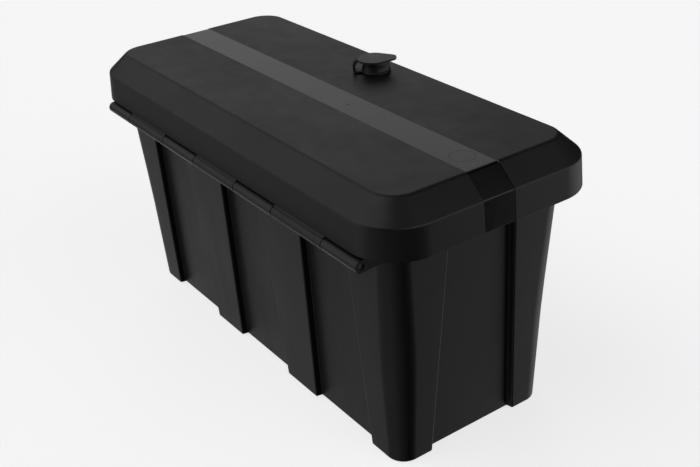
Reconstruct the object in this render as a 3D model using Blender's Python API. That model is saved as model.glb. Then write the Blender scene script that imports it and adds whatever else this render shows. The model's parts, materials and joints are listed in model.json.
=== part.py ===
"""Lidded battery box in black moulded plastic, with a hinged lid, a cam lock and a battery strap.

Metres, +Z up. The origin is on the floor, under the middle of the lid.
X runs along the box, the lock is on the -Y side and the hinge is on the +Y side.
"""
from math import atan2, cos, pi, radians, sin, tan

import bmesh
import bpy
from mathutils import Matrix, Vector

# ---- driving dimensions ----
GAP = 0.0003                # left between pieces that touch

LID_LENGTH = 0.550          # over the skirt's lower edge
LID_WIDTH = 0.248
LID_TOP = 0.2845            # height of the lid's flat top
CHAMFER_INSET = 0.0214
CHAMFER_HEIGHT = 0.0193
SKIRT_HEIGHT = 0.0298
SKIRT_FLARE = 0.0020        # the skirt spreads by this much towards its lower edge
LID_CORNER = 0.0460         # corner radius at the shoulder
LID_WALL = 0.0030
BAND_WIDTH = 0.0348         # the shallow smooth band along the middle of the lid
BAND_DEPTH = 0.0005
BAND_Y = 0.0020

BODY_Y = 0.0024             # the body stands this far towards the hinge
PANEL_LOW = (0.2338, 0.0824)    # half sizes of the recessed panels at the floor
PANEL_HIGH = (0.2472, 0.0940)   # and under the flange
RIB_DEPTH = 0.0066
FLANK = 0.0012              # how far a rib's side leans
BODY_CORNER = (0.0265, 0.0215)  # corner radius at the floor and under the flange
BODY_WALL = 0.0030
FLOOR_THICK = 0.0040
COLUMN_EDGE = (0.1948, 0.1835)  # where the corner columns end, at the floor and under the flange
RIB_OUTER = (0.1019, 0.1135)
RIB_INNER = (0.0464, 0.0345)
END_COLUMN = (0.0497, 0.0362)

FLANGE_LOW = 0.2365
FLANGE_THICK = 0.0030
FLANGE_REACH = 0.0080
RIM_HALF = (0.2480, 0.0950)     # middle of the upright rim's wall
RIM_CORNER = 0.0220
RIM_TOP = 0.2620
LEDGE = 0.0020              # the sloping step from the rim down to the inside of the walls

HINGE_Y = 0.1236
HINGE_Z = 0.2285
KNUCKLE_RADIUS = 0.0060
KNUCKLE_SHIFT = -0.0035
KNUCKLE_SEAMS = (0.0397, 0.1067, 0.1866)
HINGE_ENDS = (-0.2412, 0.2342)
KNUCKLE_GAP = 0.0010
WEB_TOP = (0.1200, 0.1150, 0.1100)  # where the web's upper side bends, from the barrel inwards
WEB_ROOT = (0.0998, 0.1003)     # the web's inner edge, low down and under the flange
WEB_DROP = 0.0043               # from the hinge's axis down to the web's lower inner edge
PIN_RADIUS = 0.0027
PIN_BORE = 0.0031

LOCK_X = -0.0050
LOCK_Y = -0.0713
HOUSING_HEAD = 0.0102
HOUSING_BARREL = 0.0088
CORE_RADIUS = 0.0056
COLLAR_FOOT = 0.0155
COLLAR_WAIST = (0.0149, 0.0137) # radius above the foot and under the cap
COLLAR_HEIGHT = 0.0120
CAP_RADIUS = 0.0160
CAP_SHIFT = 0.0025          # the cap's disc is set back towards its hinge
CAP_THICK = 0.0022
CAP_BACK = 0.0185           # from the lock's axis to the cap's hinge line
CAP_TAB = 0.0216            # from the lock's axis to the tip of the pull tab
CAP_TURN = radians(-32)     # the collar and cap are turned this far about the lock
CAP_STRAP = 0.0242          # how far the strap's loop stands out from the lock's axis
CAP_STRAP_WIDTH = 0.0090
CAM_LOW = 0.2440
CAM_THICK = 0.0030
CAM_REACH = 0.0168
KEEPER_SCREW_X = 0.0110     # from the lock's axis to each rivet of the keeper
KEEPER_SCREW_Z = 0.2530

MAT_THICK = 0.0030
STRAP_WIDTH = 0.0380
STRAP_THICK = 0.0014
ANCHOR_Y = 0.0620           # from the body's middle to each strap anchor
ANCHOR_HALF = 0.0335
ANCHOR_SCREW = 0.0284       # from the strap's middle to each anchor screw
ANCHOR_THICK = 0.0020
ANCHOR_RISE = 0.0044        # height of the bridge over its feet
BOSS_TOP = 0.0120
BUCKLE_SHEET = 0.0016
BUCKLE_LENGTH = 0.0340
CHEEK_HEIGHT = 0.0160
BUCKLE_PIN = 0.0018
BUCKLE_PIN_Z = 0.0180
BUCKLE_PIN_BACK = 0.0050    # the pin stands this far in front of the buckle's middle
GROMMET_RADIUS = 0.0120
GROMMET_HEIGHT = 0.1900
DRAIN_X = -0.1500

# ---- derived heights ----
SHOULDER = LID_TOP - CHAMFER_HEIGHT
SKIRT_LOW = SHOULDER - SKIRT_HEIGHT
FLANGE_TOP = FLANGE_LOW + FLANGE_THICK
RIM_FRONT = BODY_Y - RIM_HALF[1] + BODY_WALL / 2      # the front rim's inner face
MAT_LOW = FLOOR_THICK + GAP
MAT_TOP = MAT_LOW + MAT_THICK
BUCKLE_LOW = MAT_TOP + GAP
BUCKLE_PIN_Y = BODY_Y - BUCKLE_PIN_BACK
STRAP_LOW = BUCKLE_LOW + BUCKLE_SHEET + GAP

COLOURS = {
    "black_plastic": ((0.022, 0.022, 0.023), 0.55, 0.0),
    "black_rubber": ((0.016, 0.016, 0.017), 0.70, 0.0),
    "zinc_steel": ((0.62, 0.62, 0.60), 0.35, 1.0),
    "chrome": ((0.72, 0.72, 0.74), 0.16, 1.0),
    "webbing": ((0.030, 0.031, 0.034), 0.85, 0.0),
}

STEPS = 8                   # straight pieces in a quarter turn of a large corner


# ---- helpers ----
def clear_scene():
    for item in list(bpy.data.objects):
        bpy.data.objects.remove(item, do_unlink=True)


def material(name):
    found = bpy.data.materials.get(name)
    if found:
        return found
    colour, roughness, metallic = COLOURS[name]
    made = bpy.data.materials.new(name)
    made.use_nodes = True
    shader = made.node_tree.nodes["Principled BSDF"]
    shader.inputs["Base Color"].default_value = (*colour, 1.0)
    shader.inputs["Roughness"].default_value = roughness
    shader.inputs["Metallic"].default_value = metallic
    return made


def add_object(name, bm, finish, origin=(0.0, 0.0, 0.0)):
    """Make an object from world-space geometry, with its origin at the given point."""
    bmesh.ops.remove_doubles(bm, verts=bm.verts, dist=1e-6)
    bmesh.ops.recalc_face_normals(bm, faces=bm.faces)
    bmesh.ops.translate(bm, verts=bm.verts, vec=-Vector(origin))
    mesh = bpy.data.meshes.new(name)
    bm.to_mesh(mesh)
    bm.free()
    mesh.shade_smooth()
    mesh.set_sharp_from_angle(angle=radians(30))
    mesh.materials.append(material(finish))
    made = bpy.data.objects.new(name, mesh)
    made.location = origin
    bpy.context.scene.collection.objects.link(made)
    return made


def add_cutter(name, bm, origin=(0.0, 0.0, 0.0)):
    cutter = add_object(name, bm, "black_plastic", origin)
    cutter.hide_render = True
    cutter.display_type = "WIRE"
    return cutter


def combine(target, tool, operation):
    change = target.modifiers.new(tool.name, "BOOLEAN")
    change.object = tool
    change.operation = operation
    change.solver = "EXACT"


def lerp(pair, share):
    return pair[0] + (pair[1] - pair[0]) * share


def arc(centre, radius, start, stop, steps):
    """Points from the start angle to the stop angle, in degrees."""
    turn = [radians(start + (stop - start) * step / steps) for step in range(steps + 1)]
    return [(centre[0] + radius * cos(a), centre[1] + radius * sin(a)) for a in turn]


def rounded_rectangle(half_x, half_y, radius, centre=(0.0, 0.0), steps=STEPS):
    points = []
    for quarter, (side_x, side_y) in enumerate(((1, 1), (-1, 1), (-1, -1), (1, -1))):
        middle = (centre[0] + side_x * (half_x - radius), centre[1] + side_y * (half_y - radius))
        points += arc(middle, radius, 90 * quarter, 90 * quarter + 90, steps)
    return points


def loft(rings, cap_ends=True, closed=False):
    """Skin a list of rings, each a list of (x, y, z) with the same number of points."""
    bm = bmesh.new()
    loops = [[bm.verts.new(point) for point in ring] for ring in rings]
    pairs = list(zip(loops, loops[1:]))
    if closed:
        pairs.append((loops[-1], loops[0]))
    for low, high in pairs:
        for here in range(len(low)):
            after = (here + 1) % len(low)
            bm.faces.new((low[here], low[after], high[after], high[here]))
    if cap_ends and not closed:
        bm.faces.new(reversed(loops[0]))
        bm.faces.new(loops[-1])
    return bm


def prism(outline, low, high, axis="z"):
    """Extrude a flat outline. The outline is (x, y) for z, (y, z) for x and (x, z) for y."""
    place = {
        "z": lambda a, b, c: (a, b, c),
        "x": lambda a, b, c: (c, a, b),
        "y": lambda a, b, c: (a, c, b),
    }[axis]
    return loft([[place(a, b, level) for a, b in outline] for level in (low, high)])


def block(low, high):
    outline = [(low[0], low[1]), (high[0], low[1]), (high[0], high[1]), (low[0], high[1])]
    return prism(outline, low[2], high[2])


def turned(profile, centre, segments=24):
    """Turn a profile of (radius, z) about a vertical axis. A profile that leaves the axis is a ring."""
    angles = [2 * pi * step / segments for step in range(segments)]
    rings = [
        [(centre[0] + radius * cos(a), centre[1] + radius * sin(a), height) for a in angles]
        for radius, height in profile
    ]
    return loft(rings)


def tube(profile, centre, segments=24):
    """Turn a closed profile of (radius, z) about a vertical axis, leaving the middle open."""
    angles = [2 * pi * step / segments for step in range(segments)]
    rings = [
        [(centre[0] + radius * cos(a), centre[1] + radius * sin(a), height) for a in angles]
        for radius, height in profile
    ]
    return loft(rings, closed=True)


def rod(radius, low, high, centre, segments=16, axis="x"):
    return prism(arc(centre, radius, 0, 360 - 360 / segments, segments - 1), low, high, axis)


def hull(points):
    """Convex outline of a set of flat points, anticlockwise."""
    points = sorted(set(points))

    def chain(order):
        kept = []
        for p in order:
            while len(kept) > 1:
                (ax, ay), (bx, by) = kept[-2], kept[-1]
                if (bx - ax) * (p[1] - ay) - (by - ay) * (p[0] - ax) > 1e-12:
                    break
                kept.pop()
            kept.append(p)
        return kept[:-1]

    return chain(points) + chain(reversed(points))


# ---- lid ----
def lid_ring(reach_x, reach_y, radius, height, centre_y=0.0):
    return [(x, y, height) for x, y in rounded_rectangle(reach_x, reach_y, radius, (0.0, centre_y))]


def lid_rings():
    """From the middle of the top, down the outside, and back up the inside to the underside."""
    half_x = LID_LENGTH / 2 - SKIRT_FLARE
    half_y = LID_WIDTH / 2 - SKIRT_FLARE
    slope = atan2(CHAMFER_HEIGHT, CHAMFER_INSET)
    lean = atan2(SKIRT_FLARE, SKIRT_HEIGHT)
    top_shift = LID_WALL * tan(slope / 2)
    shoulder_drop = LID_WALL * tan((pi / 2 - slope - lean) / 2)
    under = LID_TOP - LID_WALL
    inner_top = CHAMFER_INSET + top_shift
    press_low = RIM_TOP + 0.0045        # lower edge of the rib that presses on the seal
    press = BODY_WALL / 2
    steps = [
        (-CHAMFER_INSET, LID_TOP),
        (0.0, SHOULDER),
        (SKIRT_FLARE, SKIRT_LOW),
        (SKIRT_FLARE - LID_WALL, SKIRT_LOW),
        (-LID_WALL, SHOULDER - shoulder_drop),
        (-inner_top, under),
    ]
    rings = [lid_ring(half_x + d, half_y + d, LID_CORNER + d, z) for d, z in steps]
    for d, z in ((press, under), (press, press_low), (-press, press_low), (-press, under)):
        rings.append(lid_ring(RIM_HALF[0] + d, RIM_HALF[1] + d, RIM_CORNER + d, z, BODY_Y))
    return rings


def band_cutter():
    """A bar that follows the lid's end profile and cuts the band's shallow step."""
    half = LID_LENGTH / 2
    clear = 0.004
    flare = SKIRT_FLARE * clear / SKIRT_HEIGHT
    inner = [
        (half - BAND_DEPTH + flare, SKIRT_LOW - clear),
        (half - SKIRT_FLARE - BAND_DEPTH, SHOULDER - BAND_DEPTH / 2),
        (half - SKIRT_FLARE - CHAMFER_INSET - BAND_DEPTH / 2, LID_TOP - BAND_DEPTH),
    ]
    outline = inner + [(-x, z) for x, z in reversed(inner)]
    outline += [(-half - clear, SKIRT_LOW - clear), (-half - clear, LID_TOP + clear)]
    outline += [(half + clear, LID_TOP + clear), (half + clear, SKIRT_LOW - clear)]
    return prism(outline, BAND_Y - BAND_WIDTH / 2, BAND_Y + BAND_WIDTH / 2, "y")


def make_lid():
    lid = add_object("lid_shell", loft(lid_rings()), "black_plastic", (0.0, HINGE_Y, HINGE_Z))
    combine(lid, add_cutter("band_cutter", band_cutter()), "DIFFERENCE")
    for index, (low, high) in enumerate(knuckle_spans(of_lid=True)):
        arm = prism(lid_knuckle_outline(), low, high, "x")
        combine(lid, add_cutter(f"lid_knuckle_{index + 1}", arm), "UNION")
    combine(lid, bpy.data.objects["hinge_bore"], "DIFFERENCE")
    hole = rod(HOUSING_BARREL + 2 * GAP, SHOULDER, LID_TOP + 0.01, (LOCK_X, LOCK_Y), 24, "z")
    combine(lid, add_cutter("lock_hole", hole), "DIFFERENCE")
    return lid


# ---- hinge ----
def knuckle_spans(of_lid):
    """Start and end in X of the lid's knuckles, or of the body's."""
    seams = [KNUCKLE_SHIFT + side * s for side in (-1, 1) for s in KNUCKLE_SEAMS]
    edges = [HINGE_ENDS[0]] + sorted(seams) + [HINGE_ENDS[1]]
    spans = []
    for index, (low, high) in enumerate(zip(edges, edges[1:])):
        if (index % 2 == 1) == of_lid:
            start = low if index == 0 else low + KNUCKLE_GAP / 2
            stop = high if index == len(edges) - 2 else high - KNUCKLE_GAP / 2
            spans.append((start, stop))
    return spans


def lid_knuckle_outline():
    """The barrel hangs from the skirt's lower edge, with a crease between them."""
    barrel = arc((HINGE_Y, HINGE_Z), KNUCKLE_RADIUS, 160, 435, 18)
    skirt = LID_WIDTH / 2
    return barrel + [
        (skirt - 0.0002, SKIRT_LOW + 0.0006),
        (skirt - LID_WALL / 2, SKIRT_LOW + 0.0036),
        (skirt - LID_WALL + 0.0002, SKIRT_LOW + 0.0010),
    ]


def body_knuckle_outline():
    """The barrel is carried by a deep web, nearly level underneath, that runs in to the wall."""
    barrel = arc((HINGE_Y, HINGE_Z), KNUCKLE_RADIUS, -92, 100, 14)
    top = HINGE_Z + KNUCKLE_RADIUS - 0.0001
    return barrel + [
        (WEB_TOP[0], top),
        (WEB_TOP[1], top + 0.0028),
        (WEB_TOP[2], FLANGE_TOP - 0.0005),
        (WEB_ROOT[1], FLANGE_TOP - 0.0010),
        (WEB_ROOT[1], FLANGE_LOW + 0.0002),
        (WEB_ROOT[0], HINGE_Z - WEB_DROP),
    ]


def make_hinge_bore():
    """The bore through all the knuckles, cut from the lid and from the body."""
    bore = rod(PIN_BORE, HINGE_ENDS[0] - 0.01, HINGE_ENDS[1] + 0.01, (HINGE_Y, HINGE_Z))
    return add_cutter("hinge_bore", bore)


def make_hinge_pin():
    inset = 0.0015
    low, high = HINGE_ENDS[0] + inset, HINGE_ENDS[1] - inset
    return add_object("hinge_pin", rod(PIN_RADIUS, low, high, (HINGE_Y, HINGE_Z)), "zinc_steel")


# ---- body ----
def body_ring(height, inset=0.0, plain=None):
    """One ring of the body. plain=(half_x, half_y, radius) gives it no ribs."""
    share = height / FLANGE_LOW
    if plain:
        crest = recess = (plain[0], plain[1])
        radius = plain[2]
        inset_marks = 0.0
    else:
        recess = (lerp((PANEL_LOW[0], PANEL_HIGH[0]), share) - inset,
                  lerp((PANEL_LOW[1], PANEL_HIGH[1]), share) - inset)
        crest = (recess[0] + RIB_DEPTH, recess[1] + RIB_DEPTH)
        radius = lerp(BODY_CORNER, share) - inset
        inset_marks = inset
    column = lerp(COLUMN_EDGE, share) + inset_marks
    rib_outer = lerp(RIB_OUTER, share) - inset_marks
    rib_inner = lerp(RIB_INNER, share) + inset_marks
    end_column = lerp(END_COLUMN, share) + inset_marks
    # along a long side: (position, is it on the crest), from one corner to the other
    half_side = [(column + FLANK, True), (column, False), (rib_outer, False),
                 (rib_outer - FLANK, True), (rib_inner + FLANK, True), (rib_inner, False)]
    long_side = half_side + [(-p, up) for p, up in reversed(half_side)]
    end_side = [(end_column + FLANK, True), (end_column, False)]
    end_side += [(-p, up) for p, up in reversed(end_side)]
    points = []
    for quarter, (side_x, side_y) in enumerate(((1, 1), (-1, 1), (-1, -1), (1, -1))):
        middle = (side_x * (crest[0] - radius), side_y * (crest[1] - radius))
        points += arc(middle, radius, 90 * quarter, 90 * quarter + 90, STEPS)
        if quarter == 0:
            points += [(p, crest[1] if up else recess[1]) for p, up in long_side]
        elif quarter == 1:
            points += [(-(crest[0] if up else recess[0]), p) for p, up in end_side]
        elif quarter == 2:
            points += [(-p, -(crest[1] if up else recess[1])) for p, up in long_side]
        else:
            points += [(crest[0] if up else recess[0], -p) for p, up in end_side]
    return [(x, y + BODY_Y, height) for x, y in points]


def body_rings():
    """From the underside, up the outside, over the rim and down the inside to the floor."""
    crest_x = PANEL_HIGH[0] + RIB_DEPTH
    crest_y = PANEL_HIGH[1] + RIB_DEPTH
    flange = (crest_x + FLANGE_REACH, crest_y + FLANGE_REACH, BODY_CORNER[1] + FLANGE_REACH)
    half = BODY_WALL / 2
    rim_out = (RIM_HALF[0] + half, RIM_HALF[1] + half, RIM_CORNER + half)
    rim_in = (RIM_HALF[0] - half, RIM_HALF[1] - half, RIM_CORNER - half)
    return [
        body_ring(0.0),
        body_ring(FLANGE_LOW),
        body_ring(FLANGE_LOW, plain=flange),
        body_ring(FLANGE_TOP, plain=flange),
        body_ring(FLANGE_TOP, plain=rim_out),
        body_ring(RIM_TOP, plain=rim_out),
        body_ring(RIM_TOP, plain=rim_in),
        body_ring(FLANGE_LOW, plain=rim_in),
        body_ring(FLANGE_LOW - LEDGE, BODY_WALL),
        body_ring(FLOOR_THICK, BODY_WALL),
    ]


def anchor_places():
    return [("front", BODY_Y - ANCHOR_Y), ("rear", BODY_Y + ANCHOR_Y)]


def grommet_places():
    """Centres of the two lead grommets on the far end's panel, and the panel's lean."""
    share = GROMMET_HEIGHT / FLANGE_LOW
    panel = lerp((PANEL_LOW[0], PANEL_HIGH[0]), share)
    lean = atan2(PANEL_HIGH[0] - PANEL_LOW[0], FLANGE_LOW)
    middle = panel - BODY_WALL / 2
    places = [("front", BODY_Y - 0.020), ("rear", BODY_Y + 0.020)]
    return [(side, Vector((middle, y, GROMMET_HEIGHT))) for side, y in places], lean


def make_body():
    body = add_object("box_body", loft(body_rings()), "black_plastic")
    for index, (low, high) in enumerate(knuckle_spans(of_lid=False)):
        arm = prism(body_knuckle_outline(), low, high, "x")
        combine(body, add_cutter(f"body_knuckle_{index + 1}", arm), "UNION")
    combine(body, bpy.data.objects["hinge_bore"], "DIFFERENCE")
    for side, y in anchor_places():
        half = ANCHOR_HALF + 0.002
        boss = block((-half, y - 0.009, FLOOR_THICK - 0.001), (half, y + 0.009, BOSS_TOP))
        combine(body, add_cutter(f"boss_{side}", boss), "UNION")
        for hand in (-1, 1):
            hole = rod(0.0023, FLOOR_THICK + 0.001, BOSS_TOP + 0.005, (hand * ANCHOR_SCREW, y), 12, "z")
            combine(body, add_cutter(f"boss_hole_{side}_{hand}", hole), "DIFFERENCE")
    for hand in (-1, 1):
        low, high = RIM_FRONT - BODY_WALL - 0.005, RIM_FRONT + 0.005
        hole = rod(0.0020, low, high, (LOCK_X + hand * KEEPER_SCREW_X, KEEPER_SCREW_Z), 12, "y")
        combine(body, add_cutter(f"keeper_hole_{hand}", hole), "DIFFERENCE")
    places, lean = grommet_places()
    for side, centre in places:
        hole = add_cutter(f"lead_hole_{side}", rod(GROMMET_RADIUS, -0.01, 0.01, (0.0, 0.0), 24, "z"))
        hole.location = centre
        hole.rotation_euler = (0.0, pi / 2 + lean, 0.0)
        combine(body, hole, "DIFFERENCE")
    drain = rod(0.0070, -0.001, FLOOR_THICK + 0.001, (DRAIN_X, BODY_Y), 20, "z")
    combine(body, add_cutter("drain_hole", drain), "DIFFERENCE")
    return body


def make_rim_seal():
    """A channel of rubber pushed onto the rim's upper edge."""
    half = BODY_WALL / 2
    outer = half + GAP + 0.0015
    grip = half + GAP
    low = RIM_TOP - 0.0035
    top = RIM_TOP + 0.0042
    profile = [
        (-outer, low), (-outer, top - 0.0010), (-outer + 0.0010, top), (outer - 0.0010, top),
        (outer, top - 0.0010), (outer, low), (grip, low), (grip, RIM_TOP + GAP),
        (-grip, RIM_TOP + GAP), (-grip, low),
    ]
    rings = [lid_ring(RIM_HALF[0] + d, RIM_HALF[1] + d, RIM_CORNER + d, z, BODY_Y) for d, z in profile]
    return add_object("rim_seal", loft(rings, closed=True), "black_rubber")


# ---- lock ----
def make_lock_housing():
    head_low = LID_TOP + GAP
    bore = CORE_RADIUS + GAP
    low = LID_TOP - 0.0300
    profile = [
        (bore, low), (HOUSING_BARREL, low), (HOUSING_BARREL, head_low), (HOUSING_HEAD, head_low),
        (HOUSING_HEAD, LID_TOP + 0.0077), (HOUSING_HEAD - 0.0008, LID_TOP + 0.0085),
        (bore, LID_TOP + 0.0085),
    ]
    return add_object("lock_housing", tube(profile, (LOCK_X, LOCK_Y)), "zinc_steel")


def make_lock_washer():
    top = LID_TOP - LID_WALL - GAP
    bore = HOUSING_BARREL + GAP
    profile = [(bore, top - 0.0012), (0.0150, top - 0.0012), (0.0150, top), (bore, top)]
    return add_object("lock_washer", tube(profile, (LOCK_X, LOCK_Y)), "zinc_steel")


def make_lock_nut():
    """A hexagon nut that clamps the lock up against the underside of the lid."""
    top = LID_TOP - LID_WALL - 0.0012 - 2 * GAP
    bore = HOUSING_BARREL + GAP
    segments = 24
    side = 0.0120                       # half the width across the flats
    rings = []
    for radius, height in ((bore, top - 0.006), (None, top - 0.006), (None, top), (bore, top)):
        ring = []
        for step in range(segments):
            angle = 2 * pi * step / segments
            lead = (angle + pi / 6) % (pi / 3) - pi / 6
            reach = side / cos(lead) if radius is None else radius
            ring.append((LOCK_X + reach * cos(angle), LOCK_Y + reach * sin(angle), height))
        rings.append(ring)
    return add_object("lock_nut", loft(rings, closed=True), "zinc_steel")


def make_lock_core():
    """The turning core, with a blind key slot in its upper face and a neck for the cam."""
    axis = (LOCK_X, LOCK_Y)
    cam_top = CAM_LOW + CAM_THICK
    profile = [
        (CORE_RADIUS - 0.0012, cam_top + GAP), (CORE_RADIUS, cam_top + 0.0015),
        (CORE_RADIUS, LID_TOP + 0.0076), (CORE_RADIUS - 0.0006, LID_TOP + 0.0082),
    ]
    core = add_object("lock_core", turned(profile, axis), "chrome", (LOCK_X, LOCK_Y, LID_TOP))
    top = LID_TOP + 0.02
    slot = block((LOCK_X - 0.0009, LOCK_Y - 0.0038, LID_TOP - 0.006),
                 (LOCK_X + 0.0009, LOCK_Y + 0.0038, top))
    combine(core, add_cutter("key_slot", slot), "DIFFERENCE")
    hole = rod(0.0020, CAM_LOW - 0.002, cam_top + 0.010, axis, 12, "z")
    combine(core, add_cutter("cam_screw_hole", hole), "DIFFERENCE")
    return core


def make_lock_cam():
    """A flat tongue, turned along the box when the lock is open."""
    hub = arc((LOCK_X, LOCK_Y), 0.0075, 0, 345, 23)
    tip = arc((LOCK_X + CAM_REACH - 0.0050, LOCK_Y), 0.0050, -90, 90, 8)
    outline = hull(hub + tip)
    cam = add_object("lock_cam", prism(outline, CAM_LOW, CAM_LOW + CAM_THICK), "zinc_steel",
                     (LOCK_X, LOCK_Y, CAM_LOW))
    hole = rod(0.0021, CAM_LOW - 0.001, CAM_LOW + CAM_THICK + 0.001, (LOCK_X, LOCK_Y), 12, "z")
    combine(cam, add_cutter("cam_hole", hole), "DIFFERENCE")
    return cam


def make_cam_screw():
    cam_top = CAM_LOW + CAM_THICK
    profile = [
        (0.0026, CAM_LOW - GAP - 0.0024), (0.0036, CAM_LOW - GAP - 0.0016), (0.0036, CAM_LOW - GAP),
        (0.0017, CAM_LOW - GAP), (0.0017, cam_top + 0.0090),
    ]
    return add_object("cam_screw", turned(profile, (LOCK_X, LOCK_Y), 16), "zinc_steel",
                      (LOCK_X, LOCK_Y, CAM_LOW))


def place_on_lock(piece):
    """Turn a piece that is modelled about its own origin, and stand it on the lid over the lock."""
    piece.location = Vector((LOCK_X, LOCK_Y, LID_TOP)) + Matrix.Rotation(CAP_TURN, 3, "Z") @ piece.location
    piece.rotation_euler = (0.0, 0.0, CAP_TURN)
    return piece


def cap_strap_outline():
    """The strap's section: out along the lid from the collar, round, and up to the cap's edge."""
    low_mid = 0.0013
    turn_mid = 0.0042
    top_mid = COLLAR_HEIGHT + GAP + CAP_THICK / 2
    half = CAP_THICK / 2
    root = COLLAR_WAIST[0] - 0.0015
    end = CAP_BACK + GAP
    reach = CAP_STRAP - half
    bend = 0.0028
    middle = [(root, low_mid)]
    for step in range(5):
        a = radians(-90 + 90 * step / 4)
        middle.append((reach - bend + bend * cos(a), turn_mid + (turn_mid - low_mid) * sin(a)))
    for step in range(1, 9):
        a = radians(90 * step / 8)
        middle.append((end + (reach - end) * cos(a), turn_mid + (top_mid - turn_mid) * sin(a)))
    sides = ([], [])
    for index, (y, z) in enumerate(middle):
        before = middle[max(index - 1, 0)]
        after = middle[min(index + 1, len(middle) - 1)]
        along = Vector((after[0] - before[0], after[1] - before[1])).normalized()
        sides[0].append((y + along.y * half, z - along.x * half))
        sides[1].append((y - along.y * half, z + along.x * half))
    sides[0][-1] = (end, top_mid + half)
    sides[1][-1] = (end, top_mid - half)
    return sides[0] + sides[1][::-1]


def make_cap_collar():
    """The rubber collar round the lock's head, with its strap looping up to the cap."""
    bore = HOUSING_HEAD + GAP
    profile = [
        (bore, GAP), (COLLAR_FOOT, GAP), (COLLAR_FOOT, 0.0022), (COLLAR_WAIST[0], 0.0030),
        (COLLAR_WAIST[1], 0.0075), (COLLAR_WAIST[1], COLLAR_HEIGHT - 0.0006),
        (COLLAR_WAIST[1] - 0.0006, COLLAR_HEIGHT), (bore, COLLAR_HEIGHT),
    ]
    collar = place_on_lock(add_object("cap_collar", tube(profile, (0.0, 0.0), 32), "black_rubber"))
    half = CAP_STRAP_WIDTH / 2
    strap = add_cutter("collar_strap", prism(cap_strap_outline(), -half, half, "x"))
    combine(collar, place_on_lock(strap), "UNION")
    return collar


def make_dust_cap():
    """A flat drop-shaped cap with a pull tab, hinged on the strap's upper end."""
    low = COLLAR_HEIGHT + GAP
    top = low + CAP_THICK
    tab = 0.0078
    half = CAP_STRAP_WIDTH / 2
    outline = hull(
        arc((0.0, CAP_SHIFT), CAP_RADIUS, 0, 350, 35)
        + arc((0.0, tab - CAP_TAB), tab, 180, 360, 10)
        + [(-half, CAP_BACK), (half, CAP_BACK)]
    )
    plate = prism([(x, y - CAP_BACK) for x, y in outline], low - top, 0.0)
    cap = add_object("dust_cap", plate, "black_rubber")
    cap.location = (0.0, CAP_BACK, top)
    place_on_lock(cap)
    plug = turned([(0.0082, low - 0.0020), (0.0090, low - 0.0010), (0.0090, low + 0.0010)], (0.0, 0.0))
    combine(cap, place_on_lock(add_cutter("cap_plug", plug)), "UNION")
    return cap


def make_keeper():
    """An angle of sheet steel on the front rim; the cam turns in under its shelf."""
    thick = 0.0020
    wall = RIM_FRONT + GAP
    shelf_low = CAM_LOW + CAM_THICK + 0.0005
    shelf = wall + 0.0083
    top = shelf_low + 0.0095
    outline = [
        (wall, shelf_low), (shelf, shelf_low), (shelf, shelf_low + thick),
        (wall + thick, shelf_low + thick), (wall + thick, top), (wall, top),
    ]
    half = 0.0165
    keeper = add_object("keeper_plate", prism(outline, LOCK_X - half, LOCK_X + half, "x"), "zinc_steel")
    for hand in (-1, 1):
        centre = (LOCK_X + hand * KEEPER_SCREW_X, KEEPER_SCREW_Z)
        hole = rod(0.0020, wall - 0.002, wall + 0.006, centre, 12, "y")
        combine(keeper, add_cutter(f"keeper_plate_hole_{hand}", hole), "DIFFERENCE")
        make_keeper_rivet("left" if hand < 0 else "right", centre, wall + thick)
    return keeper


def make_keeper_rivet(side, centre, plate):
    """A rivet through the plate and the rim, headed on both faces."""
    outer = RIM_FRONT - BODY_WALL - GAP
    stations = [
        (0.0020, outer - 0.0012), (0.0032, outer - 0.0004), (0.0032, outer), (0.0016, outer),
        (0.0016, plate + GAP), (0.0032, plate + GAP), (0.0032, plate + GAP + 0.0004),
        (0.0020, plate + GAP + 0.0012),
    ]
    angles = [2 * pi * step / 16 for step in range(16)]
    rings = [[(centre[0] + r * cos(a), y, centre[1] + r * sin(a)) for a in angles] for r, y in stations]
    return add_object(f"keeper_rivet_{side}", loft(rings), "zinc_steel")


# ---- inside the box ----
def make_floor_mat():
    half_x = PANEL_LOW[0] - BODY_WALL - 0.0015
    half_y = PANEL_LOW[1] - BODY_WALL - 0.0015
    outline = rounded_rectangle(half_x, half_y, 0.018, (0.0, BODY_Y), 6)
    mat = add_object("floor_mat", prism(outline, MAT_LOW, MAT_TOP), "black_rubber")
    for side, y in anchor_places():
        half = ANCHOR_HALF + 0.003
        window = block((-half, y - 0.010, 0.0), (half, y + 0.010, MAT_TOP + 0.002))
        combine(mat, add_cutter(f"mat_window_{side}", window), "DIFFERENCE")
    drain = rod(0.0125, 0.0, MAT_TOP + 0.002, (DRAIN_X, BODY_Y), 20, "z")
    combine(mat, add_cutter("mat_drain", drain), "DIFFERENCE")
    return mat


def make_drain_plug():
    profile = [
        (0.0062, 0.0008), (0.0067, 0.0014), (0.0067, FLOOR_THICK + GAP),
        (0.0110, FLOOR_THICK + GAP), (0.0110, FLOOR_THICK + 0.0020), (0.0100, FLOOR_THICK + 0.0026),
    ]
    return add_object("drain_plug", turned(profile, (DRAIN_X, BODY_Y)), "black_rubber")


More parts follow.
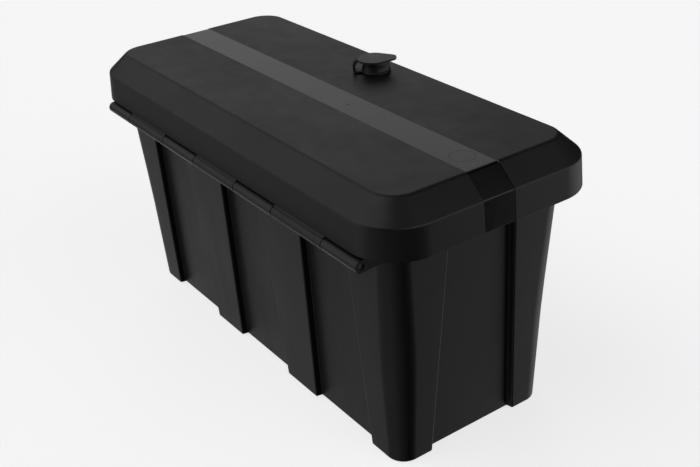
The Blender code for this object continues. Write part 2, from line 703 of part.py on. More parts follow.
def make_anchor(side, y):
    """A bridge of bent steel that the webbing runs under, with a screw through each foot."""
    low = BOSS_TOP + GAP
    foot, ramp, span = ANCHOR_HALF, 0.0225, 0.0205
    lower = [(-foot, low), (-ramp, low), (-span, low + ANCHOR_RISE)]
    lower += [(-x, z) for x, z in reversed(lower)]
    upper = [(-foot, low + ANCHOR_THICK), (-ramp - 0.0012, low + ANCHOR_THICK),
             (-span - 0.0010, low + ANCHOR_RISE + ANCHOR_THICK)]
    upper += [(-x, z) for x, z in reversed(upper)]
    outline = lower + list(reversed(upper))
    name = f"strap_anchor_{side}"
    anchor = add_object(name, prism(outline, y - 0.0065, y + 0.0065, "y"), "zinc_steel")
    for hand in (-1, 1):
        centre = (hand * ANCHOR_SCREW, y)
        hole = rod(0.0023, low - 0.001, low + ANCHOR_THICK + 0.001, centre, 12, "z")
        combine(anchor, add_cutter(f"{name}_hole_{hand}", hole), "DIFFERENCE")
        make_anchor_screw(side, "left" if hand < 0 else "right", centre, low + ANCHOR_THICK + GAP)
    return anchor


def make_anchor_screw(side, hand, centre, seat):
    profile = [
        (0.0010, FLOOR_THICK + 0.0015), (0.0019, FLOOR_THICK + 0.0030), (0.0019, seat),
        (0.0037, seat), (0.0037, seat + 0.0010), (0.0026, seat + 0.0020),
    ]
    return add_object(f"anchor_screw_{side}_{hand}", turned(profile, centre, 16), "zinc_steel")


def make_strap():
    """Flat webbing, level through the buckle and rising to pass under each anchor."""
    under_bridge = BOSS_TOP + 0.0010
    reach = ANCHOR_Y + 0.0120
    half_run = [(reach, under_bridge), (ANCHOR_Y - 0.0110, under_bridge), (ANCHOR_Y - 0.0190, STRAP_LOW)]
    lower = [(BODY_Y - y, z) for y, z in half_run]
    lower += [(BODY_Y + y, z) for y, z in reversed(half_run)]
    outline = lower + [(y, z + STRAP_THICK) for y, z in reversed(lower)]
    half = STRAP_WIDTH / 2
    return add_object("hold_down_strap", prism(outline, -half, half, "x"), "webbing")


def make_buckle():
    """A channel of steel under the webbing, whose cheeks carry the pin of the cam lever."""
    inner = STRAP_WIDTH / 2 + 0.0015
    outer = inner + BUCKLE_SHEET
    floor = BUCKLE_LOW + BUCKLE_SHEET
    top = BUCKLE_LOW + CHEEK_HEIGHT
    outline = [
        (-outer, BUCKLE_LOW), (outer, BUCKLE_LOW), (outer, top), (inner, top),
        (inner, floor), (-inner, floor), (-inner, top), (-outer, top),
    ]
    low, high = BODY_Y - BUCKLE_LENGTH / 2, BODY_Y + BUCKLE_LENGTH / 2
    frame = add_object("buckle_frame", prism(outline, low, high, "y"), "zinc_steel")
    axis = (BUCKLE_PIN_Y, BUCKLE_PIN_Z)
    bore = rod(BUCKLE_PIN + GAP, -outer - 0.003, outer + 0.003, axis, 16)
    combine(frame, add_cutter("buckle_bore", bore), "DIFFERENCE")
    add_object("buckle_pin", rod(BUCKLE_PIN, -outer - 0.0010, outer + 0.0010, axis, 16), "zinc_steel")
    lobe = arc(axis, 0.0046, 100, 290, 12)
    handle_top = BUCKLE_PIN_Z + 0.0046
    lever_outline = lobe + [
        (BUCKLE_PIN_Y + 0.0060, handle_top - 0.0028),
        (BUCKLE_PIN_Y + 0.0420, handle_top - 0.0028),
        (BUCKLE_PIN_Y + 0.0460, handle_top - 0.0010),
        (BUCKLE_PIN_Y + 0.0450, handle_top),
    ]
    half = inner - 0.0006
    lever = add_object("buckle_lever", prism(lever_outline, -half, half, "x"), "zinc_steel",
                       (0.0, BUCKLE_PIN_Y, BUCKLE_PIN_Z))
    combine(lever, bpy.data.objects["buckle_bore"], "DIFFERENCE")


def make_grommet(side, centre, lean):
    """A rubber grommet with a lip on each face of the wall and a bore for a lead."""
    half = BODY_WALL / 2
    waist = GROMMET_RADIUS - GAP
    lip = GROMMET_RADIUS + 0.0028
    bore = 0.0060
    profile = [
        (bore, -half - 0.0030), (waist, -half - 0.0030), (lip, -half - 0.0015), (lip, -half - GAP),
        (waist, -half - GAP), (waist, half + GAP), (lip, half + GAP), (lip, half + 0.0015),
        (waist, half + 0.0030), (bore, half + 0.0030),
    ]
    bm = tube(profile, (0.0, 0.0))
    turn = Matrix.Rotation(pi / 2 + lean, 4, "Y")
    bmesh.ops.transform(bm, matrix=Matrix.Translation(centre) @ turn, verts=bm.verts)
    return add_object(f"lead_grommet_{side}", bm, "black_rubber")


def main():
    clear_scene()
    make_hinge_bore()
    make_body()
    make_lid()
    make_hinge_pin()
    make_rim_seal()
    make_lock_housing()
    make_lock_washer()
    make_lock_nut()
    make_lock_core()
    make_lock_cam()
    make_cam_screw()
    make_cap_collar()
    make_dust_cap()
    make_keeper()
    make_floor_mat()
    make_drain_plug()
    make_strap()
    make_buckle()
    for side, y in anchor_places():
        make_anchor(side, y)
    places, lean = grommet_places()
    for side, centre in places:
        make_grommet(side, centre, lean)


main()
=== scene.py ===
"""Looks of the black plastic battery box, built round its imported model. Metres, +Z up.

X runs along the box. The hinge is on the +Y side, and the lock with its dust cap near the -Y side.
"""
import json
from math import atan2, ceil, cos, hypot, pi, radians, sin, tan

import bmesh
import bpy
from mathutils import Matrix, Vector


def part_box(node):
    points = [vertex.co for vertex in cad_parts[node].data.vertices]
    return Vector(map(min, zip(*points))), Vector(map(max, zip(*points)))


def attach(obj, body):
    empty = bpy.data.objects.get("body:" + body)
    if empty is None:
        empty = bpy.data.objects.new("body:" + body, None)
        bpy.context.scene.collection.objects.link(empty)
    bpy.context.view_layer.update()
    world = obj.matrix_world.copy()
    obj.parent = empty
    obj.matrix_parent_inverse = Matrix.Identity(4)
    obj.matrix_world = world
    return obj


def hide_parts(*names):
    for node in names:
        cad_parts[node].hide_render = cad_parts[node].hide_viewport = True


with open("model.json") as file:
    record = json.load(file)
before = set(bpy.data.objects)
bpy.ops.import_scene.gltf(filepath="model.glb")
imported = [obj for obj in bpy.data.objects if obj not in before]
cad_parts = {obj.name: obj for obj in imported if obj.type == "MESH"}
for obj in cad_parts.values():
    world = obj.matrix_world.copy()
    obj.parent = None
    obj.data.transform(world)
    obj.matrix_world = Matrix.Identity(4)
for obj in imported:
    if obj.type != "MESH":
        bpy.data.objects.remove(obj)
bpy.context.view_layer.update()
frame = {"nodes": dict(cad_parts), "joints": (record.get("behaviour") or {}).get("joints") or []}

JOINTS = {joint["name"]: joint for joint in frame["joints"]}

# ---- sizes taken from the frame ----
LID_LOW, LID_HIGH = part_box("lid_shell")
LID_TOP = LID_HIGH.z
LID_HALF_X = LID_HIGH.x
LID_HALF_Y = -LID_LOW.y
HINGE_Y, HINGE_Z = JOINTS["lid_hinge"]["pos_m"][1:]
LOCK = Vector(JOINTS["lock_turn"]["pos_m"])
FLOOR_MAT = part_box("floor_mat")
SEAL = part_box("rim_seal")
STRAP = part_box("hold_down_strap")
CAM_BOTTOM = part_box("lock_cam")[0].z

# ---- lid ----
CHAMFER_INSET = 0.0214
CHAMFER_HEIGHT = 0.0193
SKIRT_HEIGHT = 0.0298
SKIRT_FLARE = 0.0020
LID_CORNER = 0.0460
LID_WALL = 0.0030
TOP_EDGE = 0.0065  # radius of the edge between the top and the chamfer
SHOULDER_EDGE = 0.0028
SKIRT_EDGE = 0.0007
BAND_Y = 0.0020
BAND_WIDTH = 0.0348
BAND_DEPTH = 0.0005
BAND_BLEND = 0.0003  # half the width of the step at the band's edge
SHOULDER = LID_TOP - CHAMFER_HEIGHT
SKIRT_LOW = SHOULDER - SKIRT_HEIGHT
GATE_RING = (-0.2240, 0.0005)  # moulding marks on the band: a shallow ring and a dimple
GATE_RING_RADIUS = 0.0115
GATE_MARK = (-0.0600, 0.0040)

# ---- body ----
BODY_Y = (FLOOR_MAT[0].y + FLOOR_MAT[1].y) / 2
PANEL_LOW = (0.2338, 0.0824)
PANEL_HIGH = (0.2472, 0.0940)
RIB_DEPTH = 0.0066
FLANK = 0.0012
RIB_EDGE = 0.0017  # radius of a rib's outer edges
RIB_ROOT = 0.0013  # and of the fillet at its foot
FOOT_EDGE = 0.0018
BODY_CORNER = (0.0265, 0.0215)
BODY_WALL = 0.0030
FLOOR_THICK = 0.0040
COLUMN_EDGE = (0.1948, 0.1835)
RIB_OUTER = (0.1019, 0.1135)
RIB_INNER = (0.0464, 0.0345)
END_COLUMN = (0.0497, 0.0362)
FLANGE_LOW = 0.2365
FLANGE_TOP = 0.2395
FLANGE_REACH = 0.0080  # how far the flange stands out past the ribs
RIM_HALF = (0.2480, 0.0950)
RIM_CORNER = 0.0220
RIM_TOP = 0.2620
FLANGE = PANEL_HIGH[0] + RIB_DEPTH + FLANGE_REACH - RIM_HALF[0]  # its width from the rim's middle
LEDGE = 0.0020  # height of the slope from the rim down to the walls

# ---- hinge ----
KNUCKLE_RADIUS = LID_HIGH.y - HINGE_Y
KNUCKLE_SHIFT = -0.0035
KNUCKLE_SEAMS = (0.0397, 0.1067, 0.1866)
HINGE_ENDS = (-0.2412, 0.2342)
KNUCKLE_GAP = 0.0010
WEB_TOP = (0.1200, 0.1150, 0.1100)  # where the web's upper side bends, from the barrel inwards
WEB_ROOT = (0.0998, 0.1003)  # the web's inner edge, low down and under the flange
WEB_DROP = 0.0043  # from the hinge's axis down to the web's lower inner edge
PIN_BORE = 0.0031
PIN_RADIUS = 0.0027

# ---- lock and cap ----
HOUSING_HEAD = 0.0102
HOUSING_BARREL = 0.0088
COLLAR_FOOT = 0.0155
COLLAR_WAIST = (0.0149, 0.0137)
COLLAR_HEIGHT = 0.0120
CAP_RADIUS = 0.0160
CAP_SHIFT = 0.0025  # the cap's disc is set back towards its hinge
CAP_THICK = 0.0022
CAP_BACK = 0.0185
CAP_TAB = 0.0216
CAP_TURN = radians(-32)
CAP_STRAP = 0.0242
CAP_STRAP_WIDTH = 0.0090
GAP = 0.0003

# ---- inside the box ----
ANCHOR_Y = 0.0620
BOSS_HALF = (0.0355, 0.0090)  # half the length and width of the boss under an anchor
ANCHOR_SCREW = 0.0284
BOSS_TOP = 0.0120
GROMMET_RADIUS = 0.0120
GROMMET_HEIGHT = 0.1900
DRAIN_X = -0.1500
DRAIN_HOLE = 0.0070
DRAIN_WINDOW = 0.0125  # radius of the mat's opening round the drain plug
ANCHOR_HOLE = 0.0023
KEEPER_RIVET_HOLE = 0.0020
RECESS = (0.0017, 0.00055)  # half the length and half the width of a screw's cross bars
RECESS_DEPTH = 0.0011
KEEPER_HOLE = (0.0110, 0.2530)

CORNER_STEPS = 18  # straight pieces in a quarter turn of a large corner


# ---- mesh helpers ----
def lerp(pair, share):
    return pair[0] + (pair[1] - pair[0]) * share


def arc(centre, radius, start, stop, steps):
    """Points from the start angle to the stop angle, in degrees."""
    turn = [radians(start + (stop - start) * step / steps) for step in range(steps + 1)]
    return [(centre[0] + radius * cos(a), centre[1] + radius * sin(a)) for a in turn]


def direction_at(points, index):
    """Unit direction of a line of flat points where it passes one of them."""
    before = points[max(index - 1, 0)]
    after = points[min(index + 1, len(points) - 1)]
    return Vector((after[0] - before[0], after[1] - before[1])).normalized()


def fillet(corners, closed=True):
    """Round an outline. Each corner is (x, y, radius, steps) and makes steps + 1 points."""
    made = []
    count = len(corners)
    for index, (x, y, radius, steps) in enumerate(corners):
        here = Vector((x, y))
        if steps == 0 or (not closed and index in (0, count - 1)):
            made.append((x, y))
            continue
        back = Vector(corners[index - 1][:2]) - here
        ahead = Vector(corners[(index + 1) % count][:2]) - here
        turn = back.angle(ahead)
        if turn > radians(178):
            reach = min(radius, 0.4 * back.length, 0.4 * ahead.length)
            first = here + back.normalized() * reach
            last = here + ahead.normalized() * reach
            made += [tuple(first.lerp(last, step / steps)) for step in range(steps + 1)]
            continue
        reach = min(radius / tan(turn / 2), 0.48 * back.length, 0.48 * ahead.length)
        bend = reach * tan(turn / 2)
        middle = here + (back.normalized() + ahead.normalized()).normalized() * (bend / sin(turn / 2))
        first = here + back.normalized() * reach - middle
        last = here + ahead.normalized() * reach - middle
        start = atan2(first.y, first.x)
        sweep = (atan2(last.y, last.x) - start + pi) % (2 * pi) - pi
        for step in range(steps + 1):
            a = start + sweep * step / steps
            made.append((middle.x + bend * cos(a), middle.y + bend * sin(a)))
    return made


def hull(points):
    """Convex outline of a set of flat points, anticlockwise."""
    points = sorted(set(points))

    def chain(order):
        kept = []
        for p in order:
            while len(kept) > 1:
                (ax, ay), (bx, by) = kept[-2], kept[-1]
                if (bx - ax) * (p[1] - ay) - (by - ay) * (p[0] - ax) > 1e-12:
                    break
                kept.pop()
            kept.append(p)
        return kept[:-1]

    return chain(points) + chain(reversed(points))


def loft(rings, caps=True, closed=False):
    """Skin a list of rings, each a list of (x, y, z) with the same number of points."""
    bm = bmesh.new()
    loops = [[bm.verts.new(point) for point in ring] for ring in rings]
    pairs = list(zip(loops, loops[1:]))
    if closed:
        pairs.append((loops[-1], loops[0]))
    for low, high in pairs:
        for here in range(len(low)):
            after = (here + 1) % len(low)
            bm.faces.new((low[here], low[after], high[after], high[here]))
    if caps and not closed:
        bm.faces.new(reversed(loops[0]))
        bm.faces.new(loops[-1])
    return bm


def prism(outline, low, high, axis="z", edge=0.0, edge_steps=2):
    """Extrude a flat outline: (x, y) for z, (y, z) for x and (x, z) for y. Its end edges can be rounded."""
    place = {
        "z": lambda a, b, c: (a, b, c),
        "x": lambda a, b, c: (c, a, b),
        "y": lambda a, b, c: (a, c, b),
    }[axis]
    bm = loft([[place(a, b, level) for a, b in outline] for level in (low, high)])
    if edge:
        caps = sorted(bm.faces, key=lambda face: len(face.verts))[-2:]
        edges = [e for face in caps for e in face.edges]
        bmesh.ops.bevel(bm, geom=edges, offset=edge, segments=edge_steps, profile=0.5,
                        affect="EDGES", clamp_overlap=True)
    return bm


def rectangle(half_x, half_y):
    return [(half_x, half_y), (-half_x, half_y), (-half_x, -half_y), (half_x, -half_y)]


def block(low, high):
    outline = [(low[0], low[1]), (high[0], low[1]), (high[0], high[1]), (low[0], high[1])]
    return prism(outline, low[2], high[2])


def turned(profile, segments=64, ring=False):
    """Turn a profile of (radius, z) about the Z axis. A ring's profile is closed and leaves a bore."""
    angles = [2 * pi * step / segments for step in range(segments)]
    rings = [[(radius * cos(a), radius * sin(a), height) for a in angles] for radius, height in profile]
    return loft(rings, closed=ring)


def ring_groove(radius, level, depth, segments):
    """A V-shaped ring that cuts a groove round the origin into a flat face at this level."""
    low, high = radius - 0.0002, radius + 0.0002
    return turned([(low, level + 0.001), (low, level), (radius, level - depth), (high, level),
                   (high, level + 0.001)], segments, ring=True)


def rod(radius, low, high, centre, segments=32, axis="x", edge=0.0):
    return prism(arc(centre, radius, 0, 360 - 360 / segments, segments - 1), low, high, axis, edge)


def moved(bm, matrix):
    bmesh.ops.transform(bm, matrix=matrix, verts=bm.verts)
    return bm


def merged(*parts):
    """Put several closed shells into one bmesh."""
    whole = bmesh.new()
    for part in parts:
        mesh = bpy.data.meshes.new("shell")
        part.to_mesh(mesh)
        part.free()
        whole.from_mesh(mesh)
        bpy.data.meshes.remove(mesh)
    return whole


def add_mesh(name, bm, materials=()):
    bmesh.ops.remove_doubles(bm, verts=bm.verts, dist=1e-6)
    bmesh.ops.recalc_face_normals(bm, faces=bm.faces)
    mesh = bpy.data.meshes.new(name)
    bm.to_mesh(mesh)
    bm.free()
    for material in materials:
        mesh.materials.append(material)
    made = bpy.data.objects.new(name, mesh)
    bpy.context.scene.collection.objects.link(made)
    return made


def carve(piece, tools):
    """Apply Boolean operations to a piece, one after another. Each tool is (bmesh, operation)."""
    cutters = []
    for bm, operation in tools:
        cutter = add_mesh("cutter", bm)
        cutters.append(cutter)
        change = piece.modifiers.new("carve", "BOOLEAN")
        change.object = cutter
        change.operation = operation
        change.solver = "EXACT"
    bpy.context.view_layer.update()
    graph = bpy.context.evaluated_depsgraph_get()
    mesh = bpy.data.meshes.new_from_object(piece.evaluated_get(graph))
    piece.modifiers.clear()
    piece.data = mesh
    for cutter in cutters:
        bpy.data.objects.remove(cutter, do_unlink=True)


def dress(piece, body, nodes=(), sharp=32):
    """Smooth a finished piece, give it its body, and hide the CAD nodes it stands for."""
    piece.data.shade_smooth()
    piece.data.set_sharp_from_angle(angle=radians(sharp))
    weigh = piece.modifiers.new("even_normals", "WEIGHTED_NORMAL")
    weigh.keep_sharp = True
    weigh.weight = 60
    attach(piece, body)
    if nodes:
        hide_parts(*nodes)


def bevelled(node, body, material, edge=0.0003, segments=3, angle=32, tools=()):
    """A finished copy of a steel CAD piece: flat faces made whole, its edges rounded."""
    bm = bmesh.new()
    bm.from_mesh(frame["nodes"][node].data)
    bmesh.ops.remove_doubles(bm, verts=bm.verts, dist=1e-6)
    bmesh.ops.dissolve_limit(bm, angle_limit=radians(1.0), verts=bm.verts, edges=bm.edges)
    edges = [e for e in bm.edges if len(e.link_faces) == 2 and e.calc_face_angle(0.0) > radians(angle)]
    bmesh.ops.bevel(bm, geom=edges, offset=edge, segments=segments, profile=0.5,
                    affect="EDGES", clamp_overlap=True)
    made = add_mesh(f"{node}_finished", bm, [material])
    if tools:
        carve(made, tools)
    dress(made, body, [node], sharp=40)


# ---- material helpers ----
class Graph:
    """A material's nodes, with short calls to add and link them."""

    def __init__(self, name):
        self.material = bpy.data.materials.new(name)
        self.material.use_nodes = True
        self.tree = self.material.node_tree
        self.shader = self.tree.nodes["Principled BSDF"]
        self.place = self.add("ShaderNodeTexCoord").outputs["Object"]

    def add(self, kind, inputs=None, **settings):
        made = self.tree.nodes.new(kind)
        for key, value in settings.items():
            setattr(made, key, value)
        for key, value in (inputs or {}).items():
            if isinstance(value, bpy.types.NodeSocket):
                self.tree.links.new(value, made.inputs[key])
            else:
                made.inputs[key].default_value = value
        return made

    def set(self, **values):
        """Constants on the shader's own sockets. Spaces in a socket's name are written as _."""
        for key, value in values.items():
            self.shader.inputs[key.replace("_", " ")].default_value = value

    def link(self, source, name):
        self.tree.links.new(source, self.shader.inputs[name])

    def stretch(self, scale):
        """The position, scaled along each axis."""
        return self.add("ShaderNodeMapping", {"Vector": self.place, "Scale": scale}).outputs[0]

    def noise(self, scale, detail=2.0, rough=0.5, place=None):
        inputs = {"Vector": place or self.place, "Scale": scale, "Detail": detail, "Roughness": rough}
        return self.add("ShaderNodeTexNoise", inputs).outputs["Fac"]

    def spread(self, value, low, high, to_low, to_high, kind="LINEAR"):
        inputs = {"Value": value, "From Min": low, "From Max": high, "To Min": to_low, "To Max": to_high}
        return self.add("ShaderNodeMapRange", inputs, interpolation_type=kind).outputs["Result"]

    def mix(self, share, first, second):
        made = self.add("ShaderNodeMix", data_type="RGBA")
        pairs = ((made.inputs[0], share), (made.inputs[6], first), (made.inputs[7], second))
        for socket, value in pairs:
            if isinstance(value, bpy.types.NodeSocket):
                self.tree.links.new(value, socket)
            else:
                socket.default_value = value
        return made.outputs[2]

    def math(self, operation, first, second=0.0):
        made = self.add("ShaderNodeMath", {0: first, 1: second}, operation=operation)
        return made.outputs[0]

    def bump(self, height, distance, strength=1.0, below=None):
        inputs = {"Height": height, "Distance": distance, "Strength": strength}
        if below is not None:
            inputs["Normal"] = below
        return self.add("ShaderNodeBump", inputs).outputs["Normal"]


def grey(value, blue=0.0):
    return (value, value * (1 + blue / 3), value * (1 + blue), 1.0)


def moulded_plastic(name, shade, rough, grain, grain_depth, blue=0.03):
    """Black polypropylene from a spark-eroded mould: fine grain, faint flow marks, dull patches."""
    g = Graph(name)
    clouds = g.noise(9.0, 3.0, 0.55)
    streaks = g.noise(1.0, 3.0, 0.6, g.stretch((55.0, 55.0, 6.0)))
    fine = g.noise(1.0 / grain, 2.0, 0.6)
    coarse = g.noise(0.28 / grain, 1.0, 0.5)
    tint = g.mix(g.spread(clouds, 0.3, 0.7, 0.0, 1.0), grey(shade * 0.82, blue), grey(shade * 1.18, blue))
    tint = g.mix(g.spread(fine, 0.35, 0.7, 0.0, 0.35), tint, grey(shade * 1.9, blue))
    g.link(tint, "Base Color")
    worn = g.math("ADD", g.spread(clouds, 0.3, 0.7, rough - 0.035, rough + 0.035),
                  g.spread(streaks, 0.35, 0.65, -0.02, 0.02))
    g.link(worn, "Roughness")
    ripple = g.bump(g.noise(22.0, 2.0, 0.45), 0.00045, 0.5)
    pebbles = g.bump(coarse, grain_depth * 1.6, 0.8, ripple)
    g.link(g.bump(fine, grain_depth, 1.0, pebbles), "Normal")
    g.set(IOR=1.49)
    return g.material


def polished_plastic(name, shade, rough):
    """The smooth band: the same plastic off a polished stretch of the mould, faintly rippled."""
    g = Graph(name)
    clouds = g.noise(14.0, 4.0, 0.6)
    swirl = g.noise(1.0, 2.0, 0.5, g.stretch((12.0, 90.0, 90.0)))
    g.link(g.mix(clouds, grey(shade * 0.85, 0.04), grey(shade * 1.2, 0.04)), "Base Color")
    g.link(g.spread(clouds, 0.3, 0.7, rough - 0.03, rough + 0.05), "Roughness")
    ripple = g.bump(g.noise(30.0, 2.0, 0.5), 0.0003, 0.45)
    g.link(g.bump(swirl, 0.00008, 0.5, ripple), "Normal")
    g.set(IOR=1.5)
    return g.material


def rubber(name, shade, rough, grain=0.0005, depth=0.00003, dust=0.5):
    """Moulded rubber, or another soft black stuff, with a fine matt skin and a little dust in it."""
    g = Graph(name)
    clouds = g.noise(60.0, 4.0, 0.6)
    fine = g.noise(1.0 / grain, 3.0, 0.65)
    tint = g.mix(g.spread(clouds, 0.35, 0.7, 0.0, 1.0), grey(shade * 0.85, 0.02), grey(shade * 1.2, 0.02))
    specks = g.spread(fine, 0.62, 0.78, 0.0, dust)
    g.link(g.mix(specks, tint, grey(shade * 2.6 + 0.01)), "Base Color")
    g.link(g.spread(clouds, 0.3, 0.7, rough - 0.05, rough + 0.05), "Roughness")
    soft = g.bump(clouds, 0.0001, 0.4)
    g.link(g.bump(fine, depth, 1.0, soft), "Normal")
    g.set(IOR=1.5)
    return g.material


def plated_steel(name, shade, rough, line=(900.0, 60.0, 60.0), warm=0.03):
    """Zinc-plated steel: drawn lines, spangled sheen and slightly uneven brightness."""
    g = Graph(name)
    lines = g.noise(1.0, 3.0, 0.6, g.stretch(line))
    cells = g.add("ShaderNodeTexVoronoi", {"Vector": g.place, "Scale": 420.0}).outputs["Distance"]
    stains = g.noise(140.0, 4.0, 0.6)
    bright = (shade * (1 + warm), shade, shade * (1 - warm), 1.0)
    dull = (shade * 0.62, shade * 0.63, shade * 0.66, 1.0)
    tint = g.mix(g.spread(stains, 0.35, 0.75, 0.0, 0.7), bright, dull)
    g.link(g.mix(g.spread(cells, 0.1, 0.8, 0.0, 0.15), tint, grey(shade * 0.8)), "Base Color")
    g.link(g.math("ADD", g.spread(lines, 0.3, 0.7, rough - 0.07, rough + 0.07),
                  g.spread(stains, 0.4, 0.7, 0.0, 0.08)), "Roughness")
    g.link(g.bump(lines, 0.00001, 0.6, g.bump(cells, 0.00001, 0.3)), "Normal")
    g.set(Metallic=1.0)
    return g.material


def webbing_material():
    """Woven polypropylene: herringbone yarns 1.6 mm apart, lighter on their worn tops and with painted shade
    in the valleys between them.
    """
    g = Graph("webbing")
    parts = g.add("ShaderNodeSeparateXYZ", {0: g.place})
    across = parts.outputs[0]
    along = parts.outputs[1]
    fold = g.math("PINGPONG", across, 0.0038)
    slant = g.math("ADD", along, fold)
    yarn = g.math("SINE", g.math("MULTIPLY", slant, 2 * pi / 0.0016))
    twist = g.math("SINE", g.math("MULTIPLY", g.math("SUBTRACT", along, fold), 2 * pi / 0.0011))
    height = g.math("ADD", yarn, g.math("MULTIPLY", twist, 0.45))
    fuzz = g.noise(4200.0, 3.0, 0.7)
    # Colour follows the weave's height: lighter yarn tops from wear, and painted shade darkening the
    # valleys.
    worn_tops_and_valley_shade = g.spread(g.math("ADD", height, g.math("MULTIPLY", fuzz, 0.8)), -1.0, 1.9, 0.0, 1.0)
    g.link(g.mix(worn_tops_and_valley_shade, grey(0.010, 0.1), grey(0.060, 0.1)), "Base Color")
    g.link(g.spread(fuzz, 0.3, 0.7, 0.78, 0.95), "Roughness")
    g.link(g.bump(height, 0.00012, 0.8, g.bump(fuzz, 0.00004, 0.6)), "Normal")
    g.set(Sheen_Weight=0.25, Sheen_Roughness=0.4)
    return g.material


# ---- lid ----
def lid_ring(reach, height, shift=(0.0, 0.0), rim=False):
    """A ring of the lid. reach is from the shoulder line, or from the rim's line for the seal's press rib.

    shift is how far the smooth band lies in (inwards, downwards) where it crosses the two ends.
    """
    half_x = LID_HALF_X - SKIRT_FLARE + reach
    half_y = LID_HALF_Y - SKIRT_FLARE + reach
    radius = LID_CORNER + reach
    centre_y = 0.0
    if rim:
        half_x = RIM_HALF[0] + reach
        half_y = RIM_HALF[1] + reach
        radius = RIM_CORNER + reach
        centre_y = BODY_Y
    half = BAND_WIDTH / 2
    edges = [BAND_Y - half - BAND_BLEND, BAND_Y - half + BAND_BLEND,
             BAND_Y + half - BAND_BLEND, BAND_Y + half + BAND_BLEND]
    points = []
    for quarter, (side_x, side_y) in enumerate(((1, 1), (-1, 1), (-1, -1), (1, -1))):
        middle = (side_x * (half_x - radius), centre_y + side_y * (half_y - radius))
        points += [(x, y, height) for x, y in
                   arc(middle, radius, 90 * quarter, 90 * quarter + 90, CORNER_STEPS)]
        if side_x * side_y < 0:
            for index, y in enumerate(edges if quarter == 3 else reversed(edges)):
                inner = index in (1, 2)
                outwards = -1 if quarter == 1 else 1
                x = outwards * (half_x - (shift[0] if inner else 0.0))
                points.append((x, y, height - (shift[1] if inner else 0.0)))
    return points


def lid_path():
    """The lid's section from the flat top, down the outside and up the inside, as (reach, height)."""
    slope = atan2(CHAMFER_HEIGHT, CHAMFER_INSET)
    lean = atan2(SKIRT_FLARE, SKIRT_HEIGHT)
    under = LID_TOP - LID_WALL
    inner_top = CHAMFER_INSET + LID_WALL * tan(slope / 2)
    drop = LID_WALL * tan((pi / 2 - slope - lean) / 2)
    outside = fillet([
        (-CHAMFER_INSET - 0.0080, LID_TOP, 0, 0),
        (-CHAMFER_INSET, LID_TOP, TOP_EDGE, 10),
        (0.0, SHOULDER, SHOULDER_EDGE, 7),
        (SKIRT_FLARE, SKIRT_LOW, SKIRT_EDGE, 4),
        (SKIRT_FLARE - LID_WALL, SKIRT_LOW, 0, 0),
    ], closed=False)
    inside = fillet([
        (SKIRT_FLARE, SKIRT_LOW, 0, 0),
        (SKIRT_FLARE - LID_WALL, SKIRT_LOW, SKIRT_EDGE, 4),
        (-LID_WALL, SHOULDER - drop, 0.0020, 4),
        (-inner_top, under, 0.0040, 5),
        (-inner_top - 0.0080, under, 0, 0),
    ], closed=False)
    return outside[:-1], inside[1:-1]


def lid_mesh():
    outside, inside = lid_path()
    rings = []
    for index, (reach, height) in enumerate(outside):
        run = direction_at(outside, index)
        rings.append(lid_ring(reach, height, (-run.y * BAND_DEPTH, run.x * BAND_DEPTH)))
    rings += [lid_ring(reach, height) for reach, height in inside]
    press = BODY_WALL / 2
    press_low = RIM_TOP + 0.0045
    under = LID_TOP - LID_WALL
    rib = fillet([(press, under, 0, 0), (press, press_low, 0.0006, 2), (-press, press_low, 0.0006, 2),
                  (-press, under, 0, 0)], closed=False)
    rings += [lid_ring(reach, height, rim=True) for reach, height in rib]

    bm = loft(rings, caps=False)
    bm.verts.ensure_lookup_table()
    count = len(rings[0])
    run = CORNER_STEPS + 1
    top = [bm.verts[index] for index in range(count)]
    minus = list(range(2 * run, 2 * run + 4))
    plus = list(range(count - 4, count))
    bm.faces.new([top[plus[3]]] + top[:2 * run] + [top[minus[0]]])
    for step in range(3):
        bm.faces.new([top[plus[2 - step]], top[plus[3 - step]], top[minus[step]], top[minus[step + 1]]])
    bm.faces.new([top[minus[3]]] + top[2 * run + 4:4 * run + 4] + [top[plus[0]]])
    last = [bm.verts[index] for index in range(len(bm.verts) - count, len(bm.verts))]
    bm.faces.new(last)
    half = BAND_WIDTH / 2
    for face in bm.faces:
        middle = face.calc_center_median()
        outer = middle.z > LID_TOP - 0.0015 or abs(middle.x) > LID_HALF_X - 0.0280
        inner = middle.z < LID_TOP - 0.0015 and abs(middle.x) < LID_HALF_X - LID_WALL
        on_band = abs(middle.y - BAND_Y) < half
        if on_band and outer and not (inner and is_inside(middle)):
            face.material_index = 1
    return bm


def is_inside(point):
    """Is the point nearer the lid's inner face than its outer one? For faces on the end walls."""
    edge = LID_HALF_X - SKIRT_FLARE
    if point.z < SHOULDER:
        return abs(point.x) < edge - LID_WALL / 2
    share = (point.z - SHOULDER) / CHAMFER_HEIGHT
    return abs(point.x) < edge - CHAMFER_INSET * share - LID_WALL / 2


def knuckle_spans(of_lid):
    seams = [KNUCKLE_SHIFT + side * s for side in (-1, 1) for s in KNUCKLE_SEAMS]
    edges = [HINGE_ENDS[0]] + sorted(seams) + [HINGE_ENDS[1]]
    spans = []
    for index, (low, high) in enumerate(zip(edges, edges[1:])):
        if (index % 2 == 1) == of_lid:
            start = low if index == 0 else low + KNUCKLE_GAP / 2
            stop = high if index == len(edges) - 2 else high - KNUCKLE_GAP / 2
            spans.append((start, stop))
    return spans


def lid_knuckle(low, high):
    """A barrel that hangs from the skirt's lower edge, with a crease between them."""
    skirt = LID_HALF_Y
    barrel = arc((HINGE_Y, HINGE_Z), KNUCKLE_RADIUS, 160, 435, 48)
    outline = barrel + [
        (skirt - 0.0002, SKIRT_LOW + 0.0010),
        (skirt - LID_WALL / 2, SKIRT_LOW + 0.0036),
        (skirt - LID_WALL + 0.0002, SKIRT_LOW + 0.0010),
    ]
    return prism(outline, low, high, "x", edge=0.00035, edge_steps=3)


